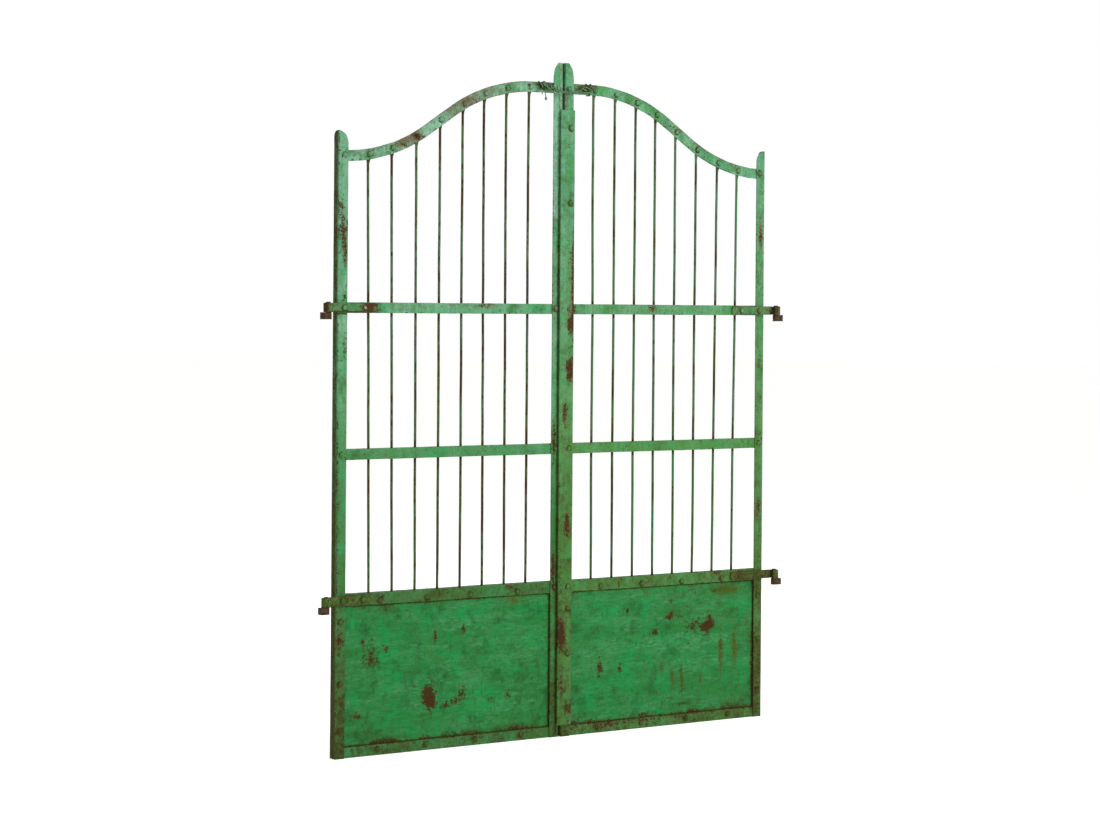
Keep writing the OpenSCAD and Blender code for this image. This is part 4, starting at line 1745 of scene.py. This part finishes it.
    def build_hinge(self, name: str, grime: float) -> None:
        """Builds a strap, cranked back on to its rail and rolled into an eye.

        Args:
            name: Which hinge.
            grime: Its even share of grime.
        """
        low, high = self.span(name)
        middle, half = float(low[2] + high[2]) / 2, float(high[2] - low[2]) / 2
        t, over = self.strap_thick, self.stile_leg + 1.0
        lying, proud = self.stile_t - t / 2, -t / 2
        path = [np.array((self.strap_reach, lying))]
        for x, y in ((over + 9.0, lying), (over, proud), (0.0, proud), (-self.axis_out, proud)):
            last, gap = path[-1], np.array((x, y)) - path[-1]
            steps = max(2, round(math.hypot(*gap) / 3.0))
            path += [last + gap * s / steps for s in range(1, steps + 1)]
        mean, axis = self.pin_room + t / 2, np.array((-self.axis_out, -self.pin_room - t))
        for a in np.radians(np.linspace(96.0, 90.0 + self.eye_wrap, 38)):
            path.append(axis + mean * np.array((math.cos(a), math.sin(a))))
        line = np.array(path)
        ahead = unit(np.gradient(line, axis=0))
        spacing = {"step": 3.0, "margin": 1.6}
        section = Section.flat((-t / 2, t / 2), (-half, half), 0.9, 0.9, **spacing)
        count = len(line)
        outlines = np.repeat(section.points()[None, :, :], count, axis=0)
        run = run_of(line)
        outlines[:, :, 1] *= (0.80 + 0.20 * np.sqrt(np.clip(run / 7.0, 0.0, 1.0)))[:, None]
        dents = np.abs(ripple(run[:, None], 26.0, self.seed(71)))
        outlines[:, :, 1] *= (1.0 - 0.04 * dents)[:, None]
        across = np.column_stack((-ahead[:, 1], ahead[:, 0], np.zeros(count)))
        skin = section.along(np.column_stack((line, np.full(count, middle))), across, UP, outlines)
        front = skin.points[:, 1] < np.where(skin.points[:, 0] > -20.0, -t / 2, -99.0)
        skin.points[:, 1] += 0.35 * ripple(skin.points, 17.0, self.seed(72)) * front
        self.place(name, skin, "hinge", rust=0.2, grime=grime, arris_rust=0.34, foot_grime=0.4)

    def build(self) -> None:
        """Builds and dresses the whole leaf."""
        self.build_stile("hinge_stile")
        self.build_stile("meeting_stile")
        for name, leg in RAIL_LEGS.items():
            self.build_rail(f"{name}_rail", leg, flange_up=name != "bottom")
        self.build_top_rail()
        self.build_panel()
        self.build_bars()
        self.build_hinge("upper_hinge", 0.18)
        self.build_hinge("lower_hinge", 0.4)
        if not self.left:
            self.build_strip()
        near = self.stained(*(kind for kind in self.stains if kind != "kick_panel"))
        weather = Weather(rust=0.16, grime=0.12 + self.soil, stains=near)
        heads = RivetHeads(seed=self.seed(11))
        for name, finish, bare in (("rivets", self.paint, False), ("rubbed_rivet", "bright", True)):
            chosen = [rivet for rivet in self.rivets if rivet.bare is bare]
            if chosen:
                heads.build(self, name, chosen, weather, finish)


# -- Pintles, latch pin and the wires that tie the leaves -----------------------------------------


@dataclass(frozen=True)
class ForgedPart:
    """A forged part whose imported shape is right: its copy gets worn edges and hammered faces.

    Attributes:
        node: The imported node.
        body: The body it rides on.
        edge: Width of its worn edges.
        hammer: How far hammering moves its faces.
        facet: Length above which an edge of its skin is halved.
    """

    node: str
    body: str
    edge: float = 0.8
    hammer: float = 0.25
    facet: float = 4.0

    def build(self, maker: Maker) -> None:
        """Copies, wears and seats the part.

        Args:
            maker: What makes and seats pieces.
        """
        mesh = frame["nodes"][self.node].data.copy()
        with worked(mesh) as work:
            bmesh.ops.remove_doubles(work, verts=work.verts, dist=1e-5)
            flat, bend = math.radians(1.0), math.radians(35.0)
            bmesh.ops.dissolve_limit(work, angle_limit=flat, verts=work.verts, edges=work.edges)
            sharp = [e for e in work.edges if e.is_manifold and e.calc_face_angle() > bend]
            rounding = {"offset": self.edge * MM, "segments": 2, "affect": "EDGES", "profile": 0.6}
            bmesh.ops.bevel(work, geom=sharp, clamp_overlap=True, **rounding)
            bmesh.ops.triangulate(work, faces=work.faces)
            for _ in range(2):
                long = [e for e in work.edges if e.calc_length() > self.facet * MM]
                bmesh.ops.subdivide_edges(work, edges=long, cuts=1)
                bmesh.ops.triangulate(work, faces=work.faces)
            bmesh.ops.recalc_face_normals(work, faces=work.faces)
        points = maker.places(mesh)
        dent = -self.hammer * np.abs(ripple(points, 11.0, 81))
        moved = maker.gate.to_row(points + coords(mesh, "normal") * dent[:, None])
        mesh.vertices.foreach_set("co", moved.ravel())
        mesh.update()
        arris = np.zeros(len(points))
        marks = Weather(rust=0.5).marks(maker.places(mesh), arris, NO_RIVETS)
        piece = linked(f"{self.node}.forged", mesh)
        maker.dress(piece, "iron", self.body, (self.node,), marks, arris, 45.0)


@dataclass(frozen=True)
class TieWires:
    """The wire that holds the leaves shut at the top rails.

    Attributes:
        middle: Height of the middle of the top rails at the seam.
        setback: How far the left leaf hangs behind the right one.
        wire: Diameter of the wire.
        rail: Height of the top rails' flat bar.
        front: Depth of the top rails' front face in their leaf.
        thick: Thickness of the top rails.
    """

    middle: float
    setback: float
    wire: float = 3.0
    rail: float = 33.0
    front: float = 4.0
    thick: float = 5.0

    @property
    def off(self) -> float:
        """Distance of the wire's middle from what it lies on."""
        return self.wire / 2 + 0.3

    def over(self, start: float, end: float, set_back: float = 0.0) -> list[tuple[float, ...]]:
        """Half a turn over a rail, from its back to its front.

        Args:
            start: Place along the gate at the back.
            end: Place along the gate at the front.
            set_back: How far the rail lies back.

        Returns:
            Points of X, Y and height above the rail's middle.
        """
        front, back = self.front + set_back, self.front + self.thick + set_back
        off, half = self.off, self.rail / 2
        c = 0.71 * off
        bends = ((back + off, half), (back + c, half + c), (back, half + off))
        bends += ((front, half + off), (front - c, half + c), (front - off, half))
        return [(start + (end - start) * i / 5, *bend) for i, bend in enumerate(bends)]

    def wound(
        self, route: Sequence[tuple[float, ...]], radius: float, pitch: float, phase: float
    ) -> Array:
        """Winds a wire round a route.

        Args:
            route: X, Y and height above the rails' middle of the route's points.
            radius: Distance of the wire from it.
            pitch: Length of one turn.
            phase: Where the first turn starts, in radians.

        Returns:
            The wound points, about twelve a turn.
        """
        path = np.array(route, float) + self.middle * UP
        run = run_of(path)
        at = np.arange(0.0, run[-1], pitch / 12)
        line = np.column_stack([np.interp(at, run, path[:, k]) for k in range(3)])
        ahead = unit(np.gradient(line, axis=0))
        side = unit(np.cross(ahead, BACK))
        turn = (phase + 2 * math.pi * at / pitch)[:, None]
        return line + radius * (np.cos(turn) * side + np.sin(turn) * np.cross(ahead, side))

    def build(self, maker: Maker) -> None:
        """Builds the wire of each leaf.

        Args:
            maker: What makes and seats pieces.
        """
        face = self.front + self.setback - self.off
        back = self.front + self.thick + self.off
        under = [(x, y, -z) for x, y, z in self.over(91, 96)]
        tie = [(105.0, back, -4.0), *self.over(104, 100), *under, *self.over(88, 84)]
        tie += [(79, 0, 11), (70, -2, 4), (55, -3, -6), (30, -3, -10), (0, -3, -12)]
        tie += [(-25, -3, -14), (-36, -3, -10), (-46, -3, 0), (-53, -3, 9), (-57, -3, 14)]
        tie += [(-62, -3, 14), (-65, -3, 9), (-62, -3, 1), (-52, -3, -9), (-42, -4.5, -17)]
        tie += [(-32, -6.5, -20), (-24, -7, -17), (-14, -6.8, -10)]
        hook = [(-73.0, back + self.setback, -20.0), *self.over(-71, -68, self.setback)]
        hook += [(-67, face, 0), (-66, face, -20), (-65, 6.8, -29), (-65, 6.4, -33)]
        hook += [(-64.5, 6.2, -37), (-64, 6, -40)]
        swell = np.ones(len(hook))
        swell[-4:] = (1.3, 2.5, 2.7, 1.3)
        cross = [(100, -2.2, -9), (62, -3.2, -12), (20, -5.0, -13), (-18, -5.2, -13)]
        cross += [(-44, -3.6, -7)]
        right = [(48, -3.4, -10), (66, -3.0, -3), (88, -2.0, 4), (112, -1.6, 9)]
        left = [(-98, 2.2, 11), (-78, 0.6, 8), (-58, -1.0, 5), (-34, -2.0, -4)]
        knot = [(-90, 1.5, 3), (-72, -0.5, 9), (-60, -1.5, 7)]
        strands = [(np.array(tie, float) + self.middle * UP, np.ones(len(tie)))]
        for radius, pitch, thick, route in (
            (2.0, 26.0, 1.0, cross),
            (4.4, 34.0, 1.0, right),
            (5.6, 36.0, 1.1, left),
            (6.4, 17.0, 1.0, knot),
        ):
            for phase in (0.0, math.pi):
                wound = self.wound(route, radius, pitch, phase)
                strands.append((wound, np.full(len(wound), thick)))
        drop = (np.array(hook, float) + self.middle * UP, swell)
        WireRun("right_leaf", -3.0).build(maker, "right.tie_wire", "wire_tie", strands)
        WireRun("left_leaf", 9.0).build(maker, "left.hook_wire", "hook_wire", [drop])


# -- Studio ---------------------------------------------------------------------------------------


@dataclass(frozen=True)
class Studio:
    """Camera, pale floor and soft light round the gate.

    Attributes:
        stand: Where the camera stands, in gate millimetres.
        heading: Angle from straight ahead to the camera's aim, in degrees.
        roll: Turn of the camera about its own axis, in degrees.
        lens: Focal length on a 36 mm wide sensor.
        shift: Vertical shift that the framing needs.
        pale: Colour of the floor.
        sky: Colour of the surrounding light.
        surround: Strength of the light that the surroundings give, and as the camera sees it.
        bounce: Light that the floor gives off, and as the camera sees it.
        aim: Height above the gate's foot that the soft boxes face, in metres.
        boxes: Name, place from that height, size and watts of each soft box, in metres.
    """

    stand: tuple[float, float, float] = (-4287.3, -6560.2, 1344.9)
    heading: float = 32.87
    roll: float = 0.42
    lens: float = 81.62
    shift: float = -0.0939
    pale: str = "#F4F4F2"
    sky: str = "#FFFFFF"
    surround: tuple[float, float] = (0.46, 1.0)
    bounce: tuple[float, float] = (0.32, 0.64)
    aim: float = 1.1
    boxes: tuple[tuple[str, tuple[float, float, float], float, float], ...] = (
        ("key", (2.2, -3.6, 4.2), 2.6, 225.0),
        ("fill", (-0.5, -5.5, 0.6), 2.4, 30.0),
        ("rim", (1.5, 3.8, 2.6), 2.6, 60.0),
    )

    def build_camera(self, gate: GateFrame) -> None:
        """Sets the camera at the height and angle from which the gate is seen.

        Args:
            gate: The gate frame.
        """
        turn, tilt = math.radians(self.heading), math.radians(self.roll)
        aim, up = Vector((math.sin(turn), math.cos(turn), 0.0)), Vector((0.0, 0.0, 1.0))
        right = aim.cross(up) * math.cos(tilt) + up * math.sin(tilt)
        place = Matrix((right, right.cross(aim), -aim)).transposed().to_4x4()
        place.translation = Vector(np.array(self.stand) * MM + gate.origin)
        camera = bpy.data.cameras.new("camera")
        camera.sensor_width = 36.0
        camera.lens = self.lens
        camera.shift_y = self.shift
        camera.clip_end = 200.0
        camera.dof.use_dof = False
        holder = linked("camera", camera)
        holder.matrix_world = place
        bpy.context.scene.camera = holder

    def build_floor(self, gate: GateFrame) -> None:
        """Lays a wide pale floor, 60 m in radius, half a millimetre below the gate's foot.

        Args:
            gate: The gate frame.
        """
        mesh = bpy.data.meshes.new("floor")
        with worked(mesh) as work:
            bmesh.ops.create_circle(work, cap_ends=True, segments=96, radius=60.0)
        place = (float(gate.origin[0]), 0.0, float(gate.low[2]) - 0.5 * MM)
        mesh.transform(Matrix.Translation(place))
        made, tree = blank("studio_floor_matt")
        pale, glow = srgb(self.pale), self.glow(tree, self.bounce)
        look = {"Base Color": pale, "Roughness": 0.95, "Specular IOR Level": 0.1}
        look |= {"Emission Color": pale, "Emission Strength": glow}
        add(tree, "OutputMaterial", {"Surface": add(tree, "BsdfPrincipled", look)})
        mesh.materials.append(made)
        floor = linked("floor", mesh)

    def glow(self, tree: NodeTree, strengths: tuple[float, float]) -> Socket:
        """The strength of a light: as it lights the gate, and as the camera sees it."""
        seen = add(tree, "LightPath", out="Is Camera Ray")
        return add(tree, "Mix", {0: seen, 2: strengths[0], 3: strengths[1]})

    def build_lights(self, gate: GateFrame) -> None:
        """Sets an even surrounding light and three large soft boxes.

        Args:
            gate: The gate frame.
        """
        world = bpy.data.worlds.new("studio")
        bpy.context.scene.world = world
        world.use_nodes = True
        tree = world.node_tree
        tree.nodes.clear()
        feeds = {"Color": srgb(self.sky), "Strength": self.glow(tree, self.surround)}
        add(tree, "OutputWorld", {"Surface": add(tree, "Background", feeds)})
        middle = gate.origin + self.aim * UP
        for name, offset, size, watts in self.boxes:
            light = bpy.data.lights.new(name, "AREA")
            light.shape = "SQUARE"
            light.size = size
            light.energy = watts
            holder, place = linked(name, light), Vector(middle + np.array(offset))
            holder.location = place
            holder.rotation_euler = (Vector(middle) - place).to_track_quat("-Z", "Y").to_euler()

    def build(self, gate: GateFrame) -> None:
        """Builds the whole studio.

        Args:
            gate: The gate frame.
        """
        bpy.context.scene.view_settings.view_transform = "Standard"
        self.build_camera(gate)
        self.build_floor(gate)
        self.build_lights(gate)


# -- What age has done to this gate, with its painted shadows -------------------------------------

RUST, GRIME, OCHRE = Mark
# Grime over the whole of each leaf.
SOIL = {Side.LEFT: 0.05, Side.RIGHT: 0.20}
# Each row is X, Z, width, height and, if not 1, strength of a stain. Some grime rows are painted
# shadows, noted where they stand.
STAINS: dict[Side, dict[str, dict[Mark, Sequence[tuple[float, ...]]]]] = {
    Side.LEFT: {
        "kick_panel": {
            RUST: (
                (-474, 168, 31, 44, 1.05), (-462, 142, 24, 32, 0.9), (-470, 160, 70, 80, 0.34),
                (-448, 346, 12, 46, 0.95), (-347, 360, 15, 26, 0.9), (-698, 341, 14, 18, 0.7),
                (-676, 300, 60, 90, 0.48), (-670, 288, 12, 12, 0.5), (-620, 318, 22, 20, 0.66),
                (-351, 155, 34, 50, 0.66), (-414, 131, 26, 20, 0.62), (-384, 146, 26, 22, 0.5),
                (-248, 132, 30, 26, 0.62), (-186, 145, 24, 26, 0.7), (-721, 121, 24, 16, 0.85),
                (-491, 38, 40, 20, 0.5), (-650, 38, 54, 14, 0.5), (-596, 37, 30, 12, 0.4),
                (-320, 40, 56, 14, 0.45), (-150, 42, 64, 14, 0.5),
            ),
            GRIME: (
                (-624, 446, 60, 30, 0.4), (-454, 446, 44, 24, 0.34), (-292, 450, 30, 24, 0.34),
                (-626, 40, 70, 24, 0.4), (-320, 44, 60, 18, 0.36), (-140, 43, 60, 16, 0.3),
            ),
            OCHRE: ((-165, 438, 84, 34, 0.8), (-610, 444, 70, 20, 0.4)),
        },
        "hinge_stile": {
            RUST: (
                (-782, 352, 16, 54, 0.8), (-777, 1560, 22, 110, 0.56), (-771, 1500, 12, 60, 0.5),
                (-786, 1640, 14, 70, 0.42), (-772, 1376, 14, 34, 0.5), (-773, 1227, 12, 44, 0.5),
                (-786, 94, 14, 40, 0.4), (-791, 700, 8, 800, 0.34),
            ),
            # The thin row just under the upper strap is its painted shadow on the stile.
            GRIME: ((-775, 60, 60, 420, 0.34), (-775, 1327, 60, 6, 1.2)),
            OCHRE: ((-780, 1560, 18, 150, 0.3), (-770, 1890, 30, 16, 0.5)),
        },
        "top_rail": {
            RUST: (
                (-580, 1843, 40, 22, 0.5), (-525, 1864, 36, 26, 0.55), (-330, 1978, 60, 22, 0.3),
            ),
            # Painted shadow of the wire knot on the rail, with its grime.
            GRIME: ((-66, 2047, 46, 28, 1.3), (-40, 2044, 14, 26, 0.8)),
            OCHRE: (
                (-580, 1843, 66, 34, 0.85), (-525, 1866, 50, 44, 0.85), (-417, 1948, 120, 44, 0.7),
                (-345, 1985, 150, 40, 0.85), (-270, 2020, 150, 26, 0.65),
                (-640, 1860, 240, 12, 0.6), (-60, 2052, 90, 24, 0.55),
            ),
        },
        "upper_rail": {
            RUST: ((-268, 1354, 60, 16, 0.36), (-668, 1345, 20, 26, 0.9)),
            # Painted shadow of the upper strap along the rail's lower edge.
            GRIME: ((-730, 1330, 120, 6, 1.5),),
            OCHRE: (
                (-394, 1356, 70, 16, 0.6), (-268, 1354, 90, 20, 0.75), (-560, 1340, 60, 16, 0.5),
            ),
        },
        "middle_rail": {OCHRE: ((-300, 912, 120, 12, 0.5), (-640, 905, 60, 18, 0.5))},
        "lower_rail": {
            RUST: ((-640, 474, 30, 24, 0.45), (-186, 480, 40, 20, 0.5), (-436, 474, 26, 22, 0.45)),
        },
        "meeting_stile": {
            RUST: ((-27, 940, 11, 110, 0.75), (-27, 520, 11, 130, 0.8)),
            # The narrow first row is the painted shadow of the cover strip on this stile.
            GRIME: ((-15, 1000, 5, 1800, 1.0), (-26, 1450, 30, 620, 0.3)),
            OCHRE: ((-9, 2100, 18, 50, 0.6), (-24, 760, 12, 400, 0.25)),
        },
        "upper_hinge": {
            RUST: ((-690, 1346, 30, 34, 0.95), (-848, 1346, 12, 34, 0.9), (-725, 1361, 90, 5, 0.8)),
            # Painted shadow along the strap's lower edge, and a dark upright line where the eye
            # turns into the strap.
            GRIME: ((-755, 1330, 190, 7, 1.7), (-824, 1346, 5, 30, 1.0)),
            OCHRE: ((-690, 1346, 36, 34, 0.8), (-740, 1358, 150, 5, 0.7)),
        },
        "lower_hinge": {OCHRE: ((-740, 500, 160, 10, 0.6),)},
    },
    Side.RIGHT: {
        "kick_panel": {
            RUST: (
                (588, 316, 31, 24, 1.15), (568, 313, 22, 16, 0.62), (570, 303, 28, 12, 0.8),
                (544, 314, 110, 60, 0.22), (590, 338, 12, 18, 0.8), (512, 322, 54, 36, 0.34),
                (469, 348, 20, 16, 0.72), (429, 351, 22, 22, 1.0), (430, 399, 11, 11, 0.95),
                (372, 307, 26, 19, 1.05), (154, 204, 18, 56, 0.95), (233, 196, 13, 46, 0.78),
                (260, 380, 13, 18, 0.95), (503, 261, 9, 9, 0.7), (757, 214, 9, 160, 0.6),
                (397, 185, 9, 34, 0.42), (440, 150, 8, 50, 0.45), (477, 148, 8, 80, 0.52),
                (634, 220, 9, 120, 0.42), (690, 245, 14, 90, 0.34), (330, 40, 60, 18, 0.4),
                (120, 40, 60, 14, 0.4), (520, 38, 90, 12, 0.45), (690, 38, 60, 14, 0.45),
                (610, 420, 40, 20, 0.45),
            ),
            GRIME: ((560, 425, 240, 40, 0.26), (483, 66, 90, 10, 0.5), (500, 340, 160, 80, 0.16)),
            OCHRE: (
                (397, 187, 19, 50, 0.84), (439, 152, 15, 64, 0.9), (477, 150, 15, 92, 1.0),
                (554, 143, 14, 60, 0.76), (634, 223, 21, 160, 0.9), (690, 245, 34, 140, 0.84),
                (655, 428, 120, 34, 0.9), (742, 330, 24, 150, 0.5), (337, 428, 40, 30, 0.6),
            ),
        },
        "hinge_stile": {
            RUST: (
                (781, 1590, 16, 70, 0.55), (776, 693, 16, 60, 0.6), (778, 1180, 10, 60, 0.4),
                (780, 94, 18, 50, 0.5),
            ),
            GRIME: ((775, 1000, 60, 1700, 0.22),),
            OCHRE: ((780, 1592, 20, 110, 0.9), (775, 693, 18, 100, 0.8), (776, 1170, 10, 60, 0.5)),
        },
        "cover_strip": {
            RUST: (
                (-2, 322, 24, 84, 1.25), (1, 165, 10, 60, 0.6), (31, 82, 17, 60, 0.55),
                (7, 1015, 16, 60, 0.85), (24, 1156, 22, 60, 1.05), (18, 668, 18, 60, 0.95),
                (-6, 540, 8, 90, 0.35), (36, 1430, 11, 280, 1.0), (25, 1296, 22, 44, 0.95),
                (20, 1490, 20, 60, 0.35),
            ),
            OCHRE: (
                (-2, 325, 26, 120, 0.45), (7, 1011, 24, 90, 0.7), (25, 1152, 26, 90, 0.75),
                (18, 665, 24, 100, 0.7), (28, 1440, 22, 160, 0.55), (24, 1330, 26, 90, 0.6),
                (4, 160, 20, 110, 0.3),
            ),
        },
        "meeting_stile": {OCHRE: ((10, 1990, 14, 70, 0.85),)},
        "top_rail": {
            RUST: ((104, 2052, 36, 16, 0.5), (420, 1930, 120, 18, 0.3)),
            # Painted shadow of the wire knot on the rail, with its grime.
            GRIME: ((74, 2038, 48, 18, 1.4),),
            OCHRE: ((104, 2052, 60, 26, 0.7), (520, 1885, 160, 12, 0.5)),
        },
        "upper_rail": {
            RUST: ((347, 1350, 30, 22, 0.5), (42, 1348, 14, 34, 0.6)),
            OCHRE: (
                (347, 1350, 44, 30, 0.7), (506, 1352, 60, 16, 0.5), (44, 1346, 20, 40, 0.7),
                (640, 1336, 60, 12, 0.5),
            ),
        },
        "middle_rail": {OCHRE: ((420, 914, 160, 10, 0.45),)},
        "lower_rail": {
            RUST: ((606, 480, 40, 24, 0.5), (700, 478, 40, 20, 0.4), (337, 474, 26, 20, 0.4)),
        },
        "bottom_rail": {RUST: ((300, 26, 240, 12, 0.3), (180, 20, 60, 20, 0.35))},
        "upper_hinge": {
            RUST: ((830, 1344, 24, 44, 0.5),),
            OCHRE: ((830, 1344, 24, 44, 0.7), (700, 1331, 120, 5, 0.6)),
        },
        "lower_hinge": {OCHRE: ((826, 474, 30, 40, 0.5),)},
    },
}


def main() -> None:
    """Builds the studio and both leaves, and reports each piece."""
    logging.basicConfig(level=logging.INFO, format="%(name)s: %(message)s")
    gate = GateFrame.read()
    Studio().build(gate)
    maker = Maker(gate)
    leaves = {
        side: Leaf(LeafFrame.read(side, gate), maker, STAINS[side], SOIL[side]) for side in Side
    }
    for leaf in leaves.values():
        leaf.build()
    TieWires(leaves[Side.LEFT].ogee.high, leaves[Side.LEFT].frame.setback).build(maker)
    for side in Side:
        for place in ("upper", "lower"):
            ForgedPart(f"{side.value}_{place}_pintle", "post_pins").build(maker)
    ForgedPart("latch_pin", "left_leaf", edge=0.5, hammer=0.15).build(maker)
    LOG.info("%d pieces", len(maker.made))


if __name__ == "__main__":
    main()
